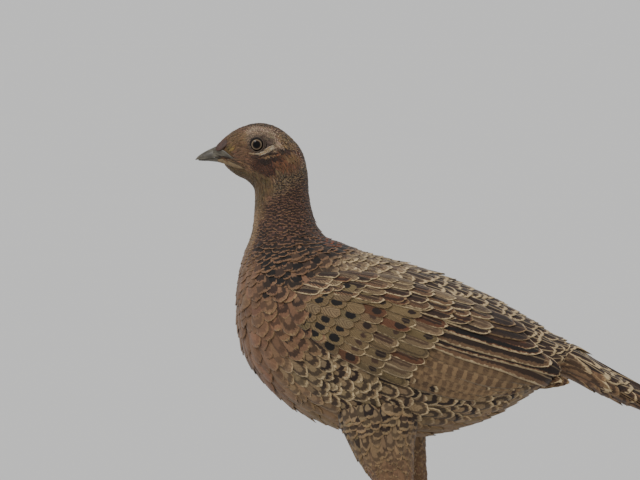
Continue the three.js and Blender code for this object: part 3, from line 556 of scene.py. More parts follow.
# One mesh from its points and faces. The looks go into attributes, with each feather's measures beside them.
def meshOf(name, vertices, faces, starts, smoothFace, maps, paint, material, reach=None):
    reach = np.ones((len(vertices), 2)) if reach is None else reach
    mesh = bpy.data.meshes.new(name)
    mesh.vertices.add(len(vertices))
    mesh.vertices.foreach_set("co", inMetres(vertices).astype(np.float32).ravel())
    mesh.loops.add(len(faces))
    mesh.loops.foreach_set("vertex_index", faces.astype(np.int32))
    mesh.polygons.add(len(starts))
    mesh.polygons.foreach_set("loop_start", starts.astype(np.int32))
    mesh.polygons.foreach_set("use_smooth", smoothFace)
    for key, uv in maps.items():
        layer = mesh.uv_layers.new(name=key)
        layer.data.foreach_set("uv", uv[faces].astype(np.float32).ravel())
    ground, rim, mark, field, fine, spot = np.split(paint, (3, 6, 9, 13, 17), axis=1)
    ground = np.concatenate([ground, reach[:, :1]], 1)
    rim = np.concatenate([rim, reach[:, 1:]], 1)
    mark = np.concatenate([mark, spot], 1)
    for key, value in (("ground", ground), ("rim", rim), ("mark", mark), ("field", field), ("fine", fine)):
        layer = mesh.attributes.new(key, "FLOAT_COLOR", "POINT")
        layer.data.foreach_set("color", value.astype(np.float32).ravel())
    mesh.update(calc_edges=True)
    mesh.materials.append(material)
    piece = bpy.data.objects.new(name, mesh)
    bpy.context.collection.objects.link(piece)
    return piece


# Outline of a feather: places along it and its width there, how far its tip's corners draw back, how deep
# its edge is combed, and how far its edges curl down
shapes = {
    "body": {"at": (0, 0.45, 0.72, 0.86, 0.94, 1), "width": (0.4, 1.0, 0.97, 0.84, 0.62, 0.26), "draw": 0.03,
             "comb": 0.022, "camber": 0.10},
    "head": {"at": (0, 0.5, 0.8, 1), "width": (0.5, 1.0, 0.8, 0.3), "draw": 0.05,
             "comb": 0.06, "camber": 0.12},
    "covert": {"at": (0, 0.4, 0.78, 0.9, 0.96, 1), "width": (0.6, 1.0, 0.97, 0.84, 0.62, 0.26), "draw": 0.02,
               "comb": 0.010, "camber": 0.07},
    "flight": {"at": (0, 0.3, 0.75, 0.9, 0.96, 1), "width": (0.6, 1.0, 0.94, 0.8, 0.58, 0.24), "draw": 0.02,
               "comb": 0.005, "camber": 0.05},
    "tail": {"at": (0, 0.2, 0.55, 0.82, 1), "width": (0.6, 1.0, 0.88, 0.56, 0.14), "draw": 0.01,
             "comb": 0.002, "camber": 0.04},
}


plate = {
    "crowd": 1.4,  # crowds the rows of points towards the tip
    "belly": 0.05, "corner": 2.3, "liftPower": 0.9,
    "jitter": 0.6, "jitterFrom": 0.8, "notchFrom": 0.5,  # in depths of the comb, and where each starts
    "pace": 0.02, "least": 0.02,
    "stripAt": (0.08, 0.02), "stripSize": (0.84, 0.96),  # on the baked picture, in strips
    "spotSize": 0.003,
}


# Makes one mesh of many feathers. Each is a plate of its own, with a curved upper face, a flat underside and
# two ends. The inside is a point below each root.
def layFeathers(name, surface, f, paint, shape, grid, strips=False):
    nu, nv = grid
    count = len(f["a"])
    u = np.linspace(-1, 1, nu + 1)
    v = 1 - (1 - np.linspace(0, 1, nv + 1)) ** plate["crowd"]
    form = shapes[shape]
    run, spread = (k.ravel() for k in np.meshgrid(v, u, indexing="ij"))
    profile = np.interp(run, form["at"], form["width"]) + plate["belly"] * np.sin(np.pi * run)
    tooth = np.tile(np.where(np.arange(nu + 1) % 2, 1.0, -1.0), nv + 1) * (run == 1)
    extent = run - form["draw"] * run ** 2 * np.abs(spread) ** plate["corner"] + tooth * form["comb"]
    jitter = draw.normal(0, form["comb"] * plate["jitter"], (count, len(spread)))
    jitter = jitter * (run > plate["jitterFrom"])
    rowAt = np.repeat(np.arange(nv + 1), nu + 1)
    notched = (np.abs(spread) == 1) * (run > plate["notchFrom"]) * (run < 1)
    notch = np.where(rowAt % 2, 1.0, -1.0) * notched * form["comb"]
    x = f["width"][:, None] / 2 * spread * profile * (1 + jitter + notch)
    x = x + f.get("bow", np.zeros(count))[:, None] * (run - run ** 2) * 4
    y = f["length"][:, None] * (extent + jitter)
    # local frame at the root, and the pace of the surface's own two coordinates there
    a, b = f["a"], f["b"]
    ea, eb = f.get("pace", (plate["pace"], plate["pace"]))
    root = surface(a, b)
    ta = (surface(a + ea, b) - surface(a - ea, b)) / (2 * ea)
    tb = (surface(a, b + eb) - surface(a, b - eb)) / (2 * eb)
    normal = np.cross(ta, tb)
    normal /= np.linalg.norm(normal, axis=1, keepdims=True)
    outward = np.sign((normal * (root - f["inside"])).sum(1))[:, None]
    normal *= outward
    forward = ta / np.linalg.norm(ta, axis=1, keepdims=True)
    side = np.cross(normal, forward)
    turn = f["turn"][:, None]
    ahead = forward * np.cos(turn) + side * np.sin(turn)
    across = np.cross(normal, ahead)
    moves = y[..., None] * ahead[:, None] + x[..., None] * across[:, None]
    aa, ab, bb = (ta * ta).sum(1), (ta * tb).sum(1), (tb * tb).sum(1)
    da, db = (moves * ta[:, None]).sum(2), (moves * tb[:, None]).sum(2)
    solid = (aa * bb - ab ** 2)[:, None]
    aTo = a[:, None] + (bb[:, None] * da - ab[:, None] * db) / solid
    bTo = b[:, None] + (aa[:, None] * db - ab[:, None] * da) / solid
    point = surface(aTo, bTo)
    na = surface(aTo + ea, bTo) - point
    nb = surface(aTo, bTo + eb) - point
    up = np.cross(na, nb) * outward[:, None]
    up /= np.maximum(np.linalg.norm(up, axis=2, keepdims=True), 1e-9)
    rise = f["low"][:, None] + (f["high"] - f["low"])[:, None] * run ** plate["liftPower"]
    rise = rise - form["camber"] * f["width"][:, None] * spread ** 2 * profile + f["roll"][:, None] * spread
    rise = np.maximum(rise, f.get("least", plate["least"]))
    vertices = (point + up * rise[..., None]).reshape(-1, 3)
    # the faces of one feather, then the same for all
    row = nu + 1
    quads = [(j * row + i, (j + 1) * row + i, (j + 1) * row + i + 1, j * row + i + 1)
             for j in range(nv) for i in range(nu)]
    under = [(j * row, j * row + nu, (j + 1) * row + nu, (j + 1) * row) for j in range(nv)]
    ends = list(range(row)) + [nv * row + i for i in reversed(range(row))]
    one = np.array([k for face in quads + under for k in face] + ends)
    sizes = np.array([4] * (len(quads) + len(under)) + [row, row])
    step = np.arange(count)[:, None]
    faces = (one[None] + step * row * (nv + 1)).ravel()
    starts = (np.concatenate([[0], np.cumsum(sizes)[:-1]])[None] + step * len(one)).ravel()
    smoothFace = np.tile(np.array([True] * len(quads) + [False] * (len(under) + 2)), count)
    # Barb lies along the feather. OFBake sets each feather at its root's place, or in a strip of its own.
    barb = np.tile(np.stack([spread / 2 + 0.5, run], 1), (count, 1))
    if strips:
        (atX, atY), (wide, high) = plate["stripAt"], plate["stripSize"]
        cellX = (step + atX + wide * (spread / 2 + 0.5)[None]) / count
        bake = np.stack([cellX, atY + high * run[None] + step * 0], -1).reshape(-1, 2)
    else:
        spot = plate["spotSize"] * np.stack([spread / 2, run - 0.5], 1)
        bake = (f["home"][:, None] + spot[None]).reshape(-1, 2)
    reach = np.stack([f["length"] / vane["length"], f["length"] / f["width"] / vane["slender"]], 1)
    looks, reach = (np.repeat(values, row * (nv + 1), axis=0) for values in (paint, reach))
    maps = {"Barb": barb, "OFBake": bake}
    piece = meshOf(name, vertices, faces, starts, smoothFace, maps, looks, plumage, reach)
    print(name + ":", count, "feathers,", count * (2 * nu * nv + 2 * nv + 2 * (nu - 1)), "triangles")
    return piece


# No two feathers are quite alike. Mark and bars: spread, least and most. Spot: least, most, and the share of
# feathers that keep one.
variety = {
    "colours": (0.7, 1.3), "ground": (0.2, 0.9, 1.1), "edges": 0.04,
    "mark": (0.15, 0.4, 1.4), "bars": (0.13, 0.7, 1.3), "spot": (0.45, 1.05, 0.85),
}


def varied(paint, amount=0.1):
    count = len(paint)
    paint = paint.copy()
    paint[:, column["colours"]] *= aboutOne(amount, *variety["colours"], (count, 1))
    share, least, most = variety["ground"]
    paint[:, column["ground"]] *= aboutOne(amount * share, least, most, (count, 3))
    paint[:, column["edges"]] += draw.normal(0, variety["edges"], (count, 1))
    for key in ("mark", "bars"):
        paint[:, column[key]] *= aboutOne(*variety[key], count)
    least, most, share = variety["spot"]
    paint[:, column["spot"]] *= draw.uniform(least, most, count) * (draw.random(count) < share)
    return paint.clip(0, 1)


# Roots of the trunk's feathers: rows round the body, thinned where the sections crowd together. Where the
# squeeze is above 1, rows lie closer than the feathers of one row.
rooting = {
    "ringPoints": 73,
    "stray": 0.12,  # sideways, in shares of a turn divided by the number in the row
    "abreast": 0.5, "astern": 0.45,  # between tries across and along the body, in spacings
    "apart": 0.92,  # least distance, in spacings
    "cell": 8,
    "step": 0.1, "flank": 1.5,  # where the pace along the body is measured
}
squeezeTable = ((0, 1), (6.4, 1), (7.4, 1.7), (11, 1.7), (13, 1.35), (15, 1), (24, 1))


def squeezeAt(s):
    return np.interp(s, *zip(*squeezeTable))


def trunkRoots(sFrom, sTo, spacing, keep):
    found, cells = [], {}
    s = sFrom
    row = 0
    while s < sTo:
        gapNow = float(spacing(s))
        squeeze = float(squeezeAt(s))
        ring = trunkPoint(np.full(rooting["ringPoints"], s), np.linspace(0, fullTurn, rooting["ringPoints"]))
        girth = np.linalg.norm(np.diff(ring, axis=0), axis=1).sum()
        number = max(8, int(girth / (gapNow * rooting["abreast"])))
        angles = (np.arange(number) + 0.5 * (row % 2)) / number * fullTurn
        angles = angles + draw.normal(0, rooting["stray"] / number * fullTurn, number)
        points = trunkPoint(np.full(number, s), angles)
        heading = trunkPoint(np.full(number, s + rooting["step"] / 2), angles) - points
        heading = (heading / np.linalg.norm(heading, axis=1, keepdims=True)).tolist()
        for angle, p, way in zip(angles, points, heading):
            if not keep(p):
                continue
            near = (float(spacing(s, p)) * rooting["apart"]) ** 2
            cell = tuple((p // rooting["cell"]).astype(int))
            p = p.tolist()
            around = [q for i in (-1, 0, 1) for j in (-1, 0, 1) for k in (-1, 0, 1)
                      for q in cells.get((cell[0] + i, cell[1] + j, cell[2] + k), ())]
            free = True
            for q in around:
                dx, dy, dz = p[0] - q[0], p[1] - q[1], p[2] - q[2]
                run = dx * way[0] + dy * way[1] + dz * way[2]
                if dx * dx + dy * dy + dz * dz + (squeeze ** 2 - 1) * run * run < near:
                    free = False
                    break
            if free:
                cells.setdefault(cell, []).append(p)
                found.append((s, angle % fullTurn))
        flank = np.array([rooting["flank"]])
        pace = trunkPoint(np.array([s + rooting["step"]]), flank) - trunkPoint(np.array([s]), flank)
        s += rooting["step"] * gapNow * rooting["astern"] / np.linalg.norm(pace) / squeeze
        row += 1
    return np.array(found)


def trunkFeathers(name, reach, spacing, sizes, shape, grid, keep):
    length, width, lift = sizes
    s, angle = trunkRoots(*reach, spacing, keep).T
    count = len(s)
    gapAt = np.array([spacing(k) for k in s])
    squeeze = squeezeAt(s)
    f = {
        "a": s, "b": angle, "inside": trunkPoint(s, angle * 0 + np.pi / 2) * (1, 0, 1),
        "turn": draw.normal(0, 0.09, count),
        "length": gapAt * length / squeeze ** 0.6 * aboutOne(0.08, 0.8, 1.2, count),
        "width": gapAt * width * squeeze ** 0.35 * aboutOne(0.07, 0.8, 1.2, count),
        "low": np.full(count, 0.1), "high": gapAt * lift * aboutOne(0.2, 0.5, 1.6, count),
        "roll": draw.normal(0, 0.04, count) * gapAt,
        "home": np.stack([angle / fullTurn, s / lastStation], 1),
    }
    amount = np.interp(s, (6, 7.5), (0.2, 0.1))[:, None]  # most on the head
    paint = varied(paintAt(s, angle), amount)
    return layFeathers(name, bodyPoint, f, paint, shape, grid)


spaceTable = ((0, 1.2), (2, 1.4), (4, 1.7), (6.2, 1.9), (8, 2.2), (9, 2.5), (10, 3.1), (11, 4.2), (12, 5.6),
              (14, 7.2), (19, 7.2), (22, 6.4), (24, 6.4))


eyeSpacing = 0.62


def bodySpacing(s, p=None):
    return np.interp(s, *zip(*spaceTable))


def headSpacing(s, p=None):  # closer together near the eye
    if p is None:
        return bodySpacing(s)
    away = math.hypot(p[0], p[2] - eyeHeight)
    return bodySpacing(s) * (eyeSpacing + (1 - eyeSpacing) * float(smooth(9, 18, away)))


# Bare places of the face in the side view, from the eye's centre
bare = {
    "midline": 3,  # nearer the middle of the bird than this nothing is bare
    "ovals": ((0, 0, 6.0, 5.6), (-23.6, -0.8, 3.3, 3.0)),  # eye and nostril flap: centre and half sizes
    "horn": {"ahead": -14.2, "foot": -9.6, "at": (-19, -3), "slope": -1.3},
    "gape": {"from": -21, "to": -8, "at": (-19.5, -11.2), "slope": -0.42, "half": 1.3},
}


def headKeep(p):
    x, z = p[0], p[2] - eyeHeight
    if abs(p[1]) < bare["midline"]:
        return True
    oval = any(((x - atX) / halfX) ** 2 + ((z - atZ) / halfZ) ** 2 < 1
               for atX, atZ, halfX, halfZ in bare["ovals"])
    horn, gape = bare["horn"], bare["gape"]
    lineZ = lambda line: line["at"][1] + line["slope"] * (x - line["at"][0])
    onHorn = x < horn["ahead"] and horn["foot"] < z < lineZ(horn)
    onGape = gape["from"] < x < gape["to"] and abs(z - lineZ(gape)) < gape["half"]
    return not (oval or onHorn or onGape)


# Where the wing's own feathers cover the side, along the wing and in from its edges
wingCover = {"along": (14, 150), "inner": 80, "foot": (9, 3), "top": 8, "aside": 12}
tertialCover = {"along": (84, 170), "slant": (168, 22, 2), "foot": 8, "top": 4}


def bodyKeep(p):
    along, up = onWing(p[0], p[2])
    a, top, foot = wing["outline"].T
    high, low = np.interp(along, a, top), np.interp(along, a, foot)
    start, end = wingCover["along"]
    low += wingCover["foot"][0 if along < wingCover["inner"] else 1]
    covered = start < along < end and low < up < high - wingCover["top"]
    start, end = tertialCover["along"]
    far, level, lean = tertialCover["slant"]
    overTertials = start < along < min(end, far - (up - level) * lean)
    overTertials = overTertials and tertialCover["foot"] < up < high + tertialCover["top"]
    return not (abs(p[1]) > wingCover["aside"] and (covered or overTertials))


plumage = plumageMaterial()
skinFinish = skinMaterial()


def finished(piece, slot, *nodes):
    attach(piece, "root")
    if nodes:
        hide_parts(*nodes)
    return piece


# Skin: the trunk and both thighs in one closed surface
coat = ((0, 0.4), (3, 0.7), (6, 1.2), (8, 2.0), (11, 3.0), (14, 4.0), (19, 4.0), (22, 2.5), (24, 1.5))
skinSet = {
    "shade": 0.75,  # beside the plumage over it
    "turns": 72, "thighTurns": 40, "thighRows": 26, "thighDepth": 1.6,
    "bodyPart": 0.7,  # of the width of the baked picture
}
thighRow = 5  # the last row of the sleeve that feathers and skin reach
thighHome = (0.74, 0.12, 0.1)  # on the baked picture: the first thigh, the step to the second, their width


def gridFaces(rows, sides):
    j, i = np.meshgrid(np.arange(rows - 1), np.arange(sides), indexing="ij")
    a, b = j * sides + i, j * sides + (i + 1) % sides
    return np.stack([a, b, b + sides, a + sides], -1).reshape(-1, 4)


def closedLoft(name, rings, maps, paint, material):
    rows, sides = rings.shape[:2]
    faces = gridFaces(rows, sides)
    caps = np.concatenate([np.arange(sides)[::-1], (rows - 1) * sides + np.arange(sides)])
    loops = np.concatenate([faces.ravel(), caps])
    starts = np.concatenate([np.arange(len(faces)) * 4, [len(faces) * 4, len(faces) * 4 + sides]])
    smoothFace = np.ones(len(starts), bool)
    piece = meshOf(name, rings.reshape(-1, 3), loops, starts, smoothFace, maps, paint, material)
    deselect()
    piece.select_set(True)
    bpy.context.view_layer.objects.active = piece
    bpy.ops.object.mode_set(mode="EDIT")
    bpy.ops.mesh.select_all(action="SELECT")
    bpy.ops.mesh.normals_make_consistent(inside=False)
    bpy.ops.object.mode_set(mode="OBJECT")
    return piece


def makeSkin():
    s = np.concatenate([np.linspace(0, 6, 61), np.linspace(6.1, lastStation, 120)])
    turns = np.arange(skinSet["turns"]) / skinSet["turns"] * fullTurn
    level, bearing = np.meshgrid(s, turns, indexing="ij")
    rings = bodyPoint(level, bearing, -np.interp(level, *zip(*coat)))
    paint = paintAt(level, bearing)
    paint[..., column["ground"]] *= skinSet["shade"]
    uv = np.stack([skinSet["bodyPart"] * bearing / fullTurn, level / lastStation], -1).reshape(-1, 2)
    skin = closedLoft("skin", rings, {"OFBake": uv}, paint.reshape(-1, lookSize), skinFinish)
    t = np.linspace(0, thighRow, skinSet["thighRows"])
    turns = np.arange(skinSet["thighTurns"]) / skinSet["thighTurns"] * fullTurn
    down, bearing = np.meshgrid(t, turns, indexing="ij")
    first, step, wide = thighHome
    thighPaint = np.tile(look("grey", "buff", "umber"), (down.size, 1))
    thighPaint[:, column["ground"]] *= skinSet["shade"]
    for side in (-1, 1):
        rings = thighPoint(side, down, bearing, -skinSet["thighDepth"])
        across = first + step * (side > 0) + wide * bearing / fullTurn
        uv = np.stack([across, down / thighRow], -1).reshape(-1, 2)
        thigh = closedLoft("thigh", rings, {"OFBake": uv}, thighPaint, skinFinish)
        join = skin.modifiers.new("join", "BOOLEAN")
        join.operation = "UNION"
        join.object = thigh
        deselect()
        bpy.context.view_layer.objects.active = skin
        bpy.ops.object.modifier_apply(modifier="join")
        bpy.data.objects.remove(thigh)
    return finished(skin, "body_plumage", "head", "neck", "torso", "thigh_left", "thigh_right")


makeSkin()
print("skin made")

# Feathers of the trunk: first and last station, spacing, length, width and lift in spacings, shape and grid
# of each feather, and which places keep one
everywhere = lambda p: True
featherTracts = {
    "head": ((0.35, 6.4), headSpacing, (2.6, 1.5, 0.24), "head", (4, 3), headKeep, "head_plumage"),
    "neck": ((6.1, 11.4), bodySpacing, (2.7, 1.55, 0.26), "body", (8, 6), everywhere, "neck_plumage"),
    "breast": ((11.2, 15.8), bodySpacing, (2.7, 1.6, 0.26), "body", (12, 8), bodyKeep, "body_plumage"),
    "body": ((15.7, 23.2), bodySpacing, (2.7, 1.6, 0.26), "body", (12, 9), bodyKeep, "body_plumage"),
}
for name, (*settings, slot) in featherTracts.items():
    finished(trunkFeathers(name + "Feathers", *settings), slot)
print("trunk feathers laid")


# Rows of larger feathers. Roots and tips give the two ends of a row, in the surface's own two coordinates.
def rowFeathers(name, surface, rows, shape, grid, inside, flip=1, **extra):
    parts = {key: [] for key in ("a", "b", "turn", "length", "width", "low", "high", "roll", "bow")}
    paint = []
    for row in rows:
        for i in range(row["count"]):
            t = i / max(row["count"] - 1, 1)
            stray = row.get("stray", 0.6)
            ends = [np.array(row[key]) for key in ("roots", "tips")]
            root, tip = (first * (1 - t) + last * t + draw.normal(0, stray, 2) for first, last in ends)
            run, climb = tip - root
            low, high = row["rise"]
            width = np.interp(t, (0, 1), row["width"]) if isinstance(row["width"], tuple) else row["width"]
            values = (*root, flip * math.atan2(climb, run), math.hypot(run, climb), width, low,
                      high + draw.normal(0, 0.12), flip * row.get("roll", 0), flip * row.get("bow", 0))
            for key, value in zip(parts, values):
                parts[key].append(value)
            paint.append(row["looks"][int(draw.integers(len(row["looks"])))])
    f = {key: np.array(value, float) for key, value in parts.items()}
    f["inside"] = inside(f)
    f.update(extra)
    return layFeathers(name, surface, f, varied(np.array(paint)), shape, grid, strips=True)


# Closed wing, from its lowest layer to its highest. Roots and tips are along the wing and up it.
wingLooks = {
    "primary": [look("umber", "buff", "buff", (0, 0, 0, 0.12), (0, 0.6, 0.3, 0.13))],
    "secondary": [look("umber", "sand", "buff", (0, 0, 0, 0.12), (0.6, 0.7, 0.3, 0.11)),
                  look("umber", "sand", "buff", (0.5, 0.8, 0.3, 0.12), (0.7, 0.5, 0.3, 0.14))],
    "tertial": [look("rufous", "cream", "black", (0.3, 0.8, 0.9, 0.15), (0.5, 0, 0.2, 0)),
                look("tan", "cream", "dark", (0.0, 0.6, 0.85, 0.14), (0.8, 0, 0.3, 0)),
                look("umber", "buff", "dark", (0.0, 0.6, 0.9, 0.15), (0.8, 0, 0.3, 0))],
    "greater": [look("oliveBuff", "cream", "dark", (0, 0, 0, 0.13), (0.7, 0, 0.1, 0), 0.95),
                look("rufous", "cream", "dark", (0.0, 0.34, 0.8, 0.14), (0.75, 0, 0.1, 0)),
                look("sand", "cream", "umber", (0.0, 0.4, 0.8, 0.13), (0.8, 0, 0.1, 0)),
                look("oliveBuff", "sand", "dark", (0.5, 0.72, 0.5, 0.1), (0.8, 0, 0, 0))],
    "median": [look("oliveBuff", "sand", "dark", (0, 0, 0, 0.1), (0.5, 0, 0, 0), 1),
               look("rufous", "buff", "dark", (0, 0, 0, 0.12), (0.5, 0, 0, 0), 0.9),
               look("oliveBuff", "cream", "umber", (0, 0, 0, 0.1), (0.7, 0, 0, 0), 0.4)],
    "lesser": [look("oliveBuff", "sand", "black", (0, 0, 0, 0.08), (0.35, 0, 0, 0), 1),
               look("oliveBuff", "sand", "dark", (0, 0, 0, 0.08), (0.5, 0, 0, 0), 0.8),
               look("sand", "buff", "umber", (0, 0, 0, 0.08), (0.6, 0, 0, 0))],
    "scapular": [look("tan", "cream", "dark", (0.0, 0.42, 0.85, 0.19), (0.8, 0, 0.2, 0)),
                 look("umber", "cream", "dark", (0.0, 0.46, 0.85, 0.2), (0.7, 0, 0.2, 0)),
                 look("rufous", "buff", "dark", (0.3, 0.66, 0.8, 0.17), (0.7, 0, 0.2, 0)),
                 look("sand", "cream", "umber", (0.0, 0.4, 0.7, 0.18), (0.8, 0, 0.2, 0))],
}
longWingRows = [
    {"count": 7, "roots": ((100, -7), (116, 8)), "tips": ((150, 3), (188, 21)), "width": 11,
     "rise": (0.2, 1.2), "roll": -0.5, "bow": -3, "looks": wingLooks["primary"]},
    {"count": 9, "roots": ((68, -15), (82, 10)), "tips": ((134, -9), (170, 19)), "width": 12,
     "rise": (0.2, 2.2), "roll": -0.7, "bow": -2, "looks": wingLooks["secondary"]},
    {"count": 8, "roots": ((80, 12), (80, 37)), "tips": ((180, 21), (140, 42)), "width": (14, 13),
     "stray": 1.5, "rise": (0.2, 3.2), "roll": -0.9, "bow": 1, "looks": wingLooks["tertial"]},
]
shortWingRows = [
    {"count": 10, "roots": ((46, -15), (52, 28)), "tips": ((86, -17), (98, 29)), "width": 9,
     "rise": (0.2, 2.8), "roll": -0.6, "looks": wingLooks["greater"]},
    {"count": 10, "roots": ((33, -14), (39, 27)), "tips": ((68, -17), (78, 28)), "width": 8.6,
     "rise": (0.2, 2.8), "roll": -0.6, "looks": wingLooks["greater"] + wingLooks["median"]},
    {"count": 9, "roots": ((24, -13), (30, 25)), "tips": ((52, -16), (61, 27)), "width": 8.6,
     "rise": (0.2, 2.6), "roll": -0.5, "looks": wingLooks["median"]},
    {"count": 8, "roots": ((15, -11), (22, 23)), "tips": ((38, -15), (46, 26)), "width": 8.4,
     "rise": (0.2, 2.4), "roll": -0.5, "looks": wingLooks["lesser"]},
    {"count": 7, "roots": ((8, -8), (14, 20)), "tips": ((27, -12), (34, 24)), "width": 8.2,
     "rise": (0.2, 2.2), "roll": -0.4, "looks": wingLooks["lesser"]},
    {"count": 6, "roots": ((1, -5), (7, 17)), "tips": ((16, -8), (23, 22)), "width": 8,
     "rise": (0.2, 2.0), "roll": -0.4, "looks": wingLooks["lesser"]},
]
scapularRows = [
    {"count": 4, "roots": ((78, 29), (80, 40)), "tips": ((124, 30), (122, 42)), "width": 10},
    {"count": 5, "roots": ((66, 28), (70, 40)), "tips": ((110, 29), (109, 42)), "width": 10},
    {"count": 5, "roots": ((54, 27), (58, 39)), "tips": ((95, 28), (95, 41)), "width": 10},
    {"count": 5, "roots": ((42, 26), (46, 38)), "tips": ((81, 27), (81, 40)), "width": 9.6},
    {"count": 5, "roots": ((31, 24), (35, 37)), "tips": ((67, 26), (68, 39)), "width": 9.2},
    {"count": 5, "roots": ((20, 21), (25, 35)), "tips": ((53, 25), (55, 38)),
     "width": 8.8, "rise": (0.2, 2.9)},
    {"count": 5, "roots": ((11, 18), (16, 32)), "tips": ((38, 22), (42, 36)),
     "width": 8.2, "rise": (0.1, 2.3)},
    {"count": 5, "roots": ((3, 14), (9, 28)), "tips": ((25, 19), (31, 32)),
     "width": 7.8, "rise": (0.1, 1.9)},
    {"count": 5, "roots": ((-4, 10), (2, 23)), "tips": ((14, 15), (20, 27)),
     "width": 7.4, "rise": (0.1, 1.7)},
]
for row in scapularRows:
    row.setdefault("rise", (0.3, 3.4))
    row.update(roll=-0.7, stray=1.2, looks=wingLooks["scapular"])


def makeWing(side, name):
    surface = lambda a, b: wingPlace(a, b, side)

    def under(f):
        x, z = offWing(f["a"], f["b"])
        return np.stack([x, x * 0, z], -1)

    for key, rows, shape, grid, nodes in (("flightFeathers", longWingRows, "flight", (10, 24), ["wing_"]),
                                          ("coverts", shortWingRows, "covert", (10, 12), []),
                                          ("scapulars", scapularRows, "covert", (10, 14), [])):
        piece = rowFeathers(key + name, surface, rows, shape, grid, under, -side, pace=(0.8, 0.8), least=-1)
        finished(piece, "wing_plumage", *(node + name.lower() for node in nodes))


for side, name in bothSides:
    makeWing(side, name)
print("wings laid")

# Tail feathers in layers below one another, the middle pair longest
tailLook = [look("tan", "buff", "dark", (0, 0, 0, 0.07), (0.5, 0.85, 0.2, 0.13))]
tailRows = {
    "from": 14,  # along the tail, where the roots lie
    "shorter": 0.075, "stepDown": 6,  # each pair than the one above, and all than the middle pair
    "width": 14, "middleWidth": 20,
    "tips": 2.5, "middleTip": 1.95, "roots": 1.5,  # heights of the top layer, the middle one lying closer
    "rootPitch": 0.3,  # of the pitch at the tips
    "middleAcross": (1.5, 2.0),
}


def makeTail():
    rows = []
    for pair in range(tail["pairs"]):
        middle = pair == 0
        length = tail["length"] * (1 - tailRows["shorter"] * pair) - (0 if middle else tailRows["stepDown"])
        width = tailRows["middleWidth" if middle else "width"]
        rootAcross, tipAcross = tailRows["middleAcross"]
        if not middle:
            rootAcross = width / 2 - 1.5 + pair * 0.3
            spread = width / 2 + 1.3 + pair * 0.4
            tipAcross = spread + pair * 1.3 * length / tail["length"] - width * 0.3
        for side in (-1, 1):
            layer = 0 if middle and side < 0 else pair + 1
            tipHeight = tailRows["middleTip" if layer == 0 else "tips"] - layer * tail["pitch"]
            rootHeight = tailRows["roots"] - layer * tail["pitch"] * tailRows["rootPitch"]
            rows.append({"count": 1, "roots": ((tailRows["from"], side * rootAcross),) * 2,
                         "tips": ((length, side * tipAcross),) * 2, "width": width,
                         "rise": (rootHeight, tipHeight), "roll": 0 if middle else side * -0.8,
                         "stray": 0.0, "looks": tailLook})
    surface = lambda a, b: tailPlace(a, b, a * 0)
    under = lambda f: tailPlace(f["a"], f["b"], f["a"] * 0 - 30)
    piece = rowFeathers("tailFeathers", surface, rows, "tail", (10, 44), under, pace=(0.8, 0.8), least=-30)
    finished(piece, "tail_plumage", "tail")


makeTail()
print("tail laid")


# Thigh feathers, soft and plain, down to the ankle
thighRooting = {
    "from": 0.2, "to": 5.1, "ringPoints": 49,
    "space": ((0, 2, 5), (6.6, 5.0, 2.6)),  # between feathers, down the thigh
    "abreast": 0.95, "astern": 0.6, "stray": 0.06,
    "sunk": 3.5,  # roots deeper in the trunk than this are left out
    "length": ((0.2, 0.8, 1.4), (1.2, 1.7, 2.6)), "width": 1.7, "lift": 0.2,  # in spacings
    "flankLook": (1.8, 0.4),
}


def thighRoots(side):
    found = []
    t, row = thighRooting["from"], 0
    sleeve = lambda t, angle: thighPoint(side, np.array([t]), np.array([angle]))
    while t < thighRooting["to"]:
        space = np.interp(t, *thighRooting["space"])
        turns = np.linspace(0, fullTurn, thighRooting["ringPoints"])
        ring = thighPoint(side, np.full(len(turns), t), turns)
        girth = np.linalg.norm(np.diff(ring, axis=0), axis=1).sum()
        number = max(6, int(girth / (space * thighRooting["abreast"])))
        turns = (np.arange(number) + 0.5 * (row % 2)) / number * fullTurn
        turns = turns + draw.normal(0, thighRooting["stray"], number)
        points = thighPoint(side, np.full(number, t), turns)
        outside = np.abs(points[:, 1]) > trunkHalf(points[:, 0], points[:, 2]) - thighRooting["sunk"]
        found += [(t, turn, space) for turn in turns[outside]]
        pace = np.linalg.norm(sleeve(t + 0.1, 0.0) - sleeve(t, 0.0))
        t += 0.1 * space * thighRooting["astern"] / pace
        row += 1
    return np.array(found).T


def makeThighFeathers(side, name):
    t, turn, space = thighRoots(side)
    count = len(t)
    first, step, wide = thighHome
    middle = (thighPoint(side, t, turn) + thighPoint(side, t, turn + np.pi)) / 2
    length = space * np.interp(t, *thighRooting["length"])
    f = {
        "a": t, "b": turn, "inside": middle,
        "turn": draw.normal(0, 0.14, count),
        "length": length * aboutOne(0.1, 0.7, 1.3, count),
        "width": space * thighRooting["width"] * aboutOne(0.08, 0.8, 1.2, count),
        "low": np.full(count, 0.1),
        "high": space * thighRooting["lift"] * aboutOne(0.2, 0.5, 1.5, count),
        "roll": draw.normal(0, 0.03, count) * space,
        "home": np.stack([first + step * (side > 0) + wide * (turn / fullTurn) % wide, t / 6], 1),
    }
    flank = look("sand", "buff", "dark", (0.3, 0.7, 0.85, 0.13))
    plain = look("tan", "buff", "umber", (0.5, 0.8, 0.25, 0.12))
    down, held = thighRooting["flankLook"]
    lower = np.clip(t[:, None] / down - held, 0, 1)
    paint = varied(flank * (1 - lower) + plain * lower)
    surface = lambda a, b: thighPoint(side, a, b)
    finished(layFeathers("thighFeathers" + name, surface, f, paint, "body", (10, 7)), "thigh_plumage")


for side, name in bothSides:
    makeThighFeathers(side, name)
print("thigh feathers laid")


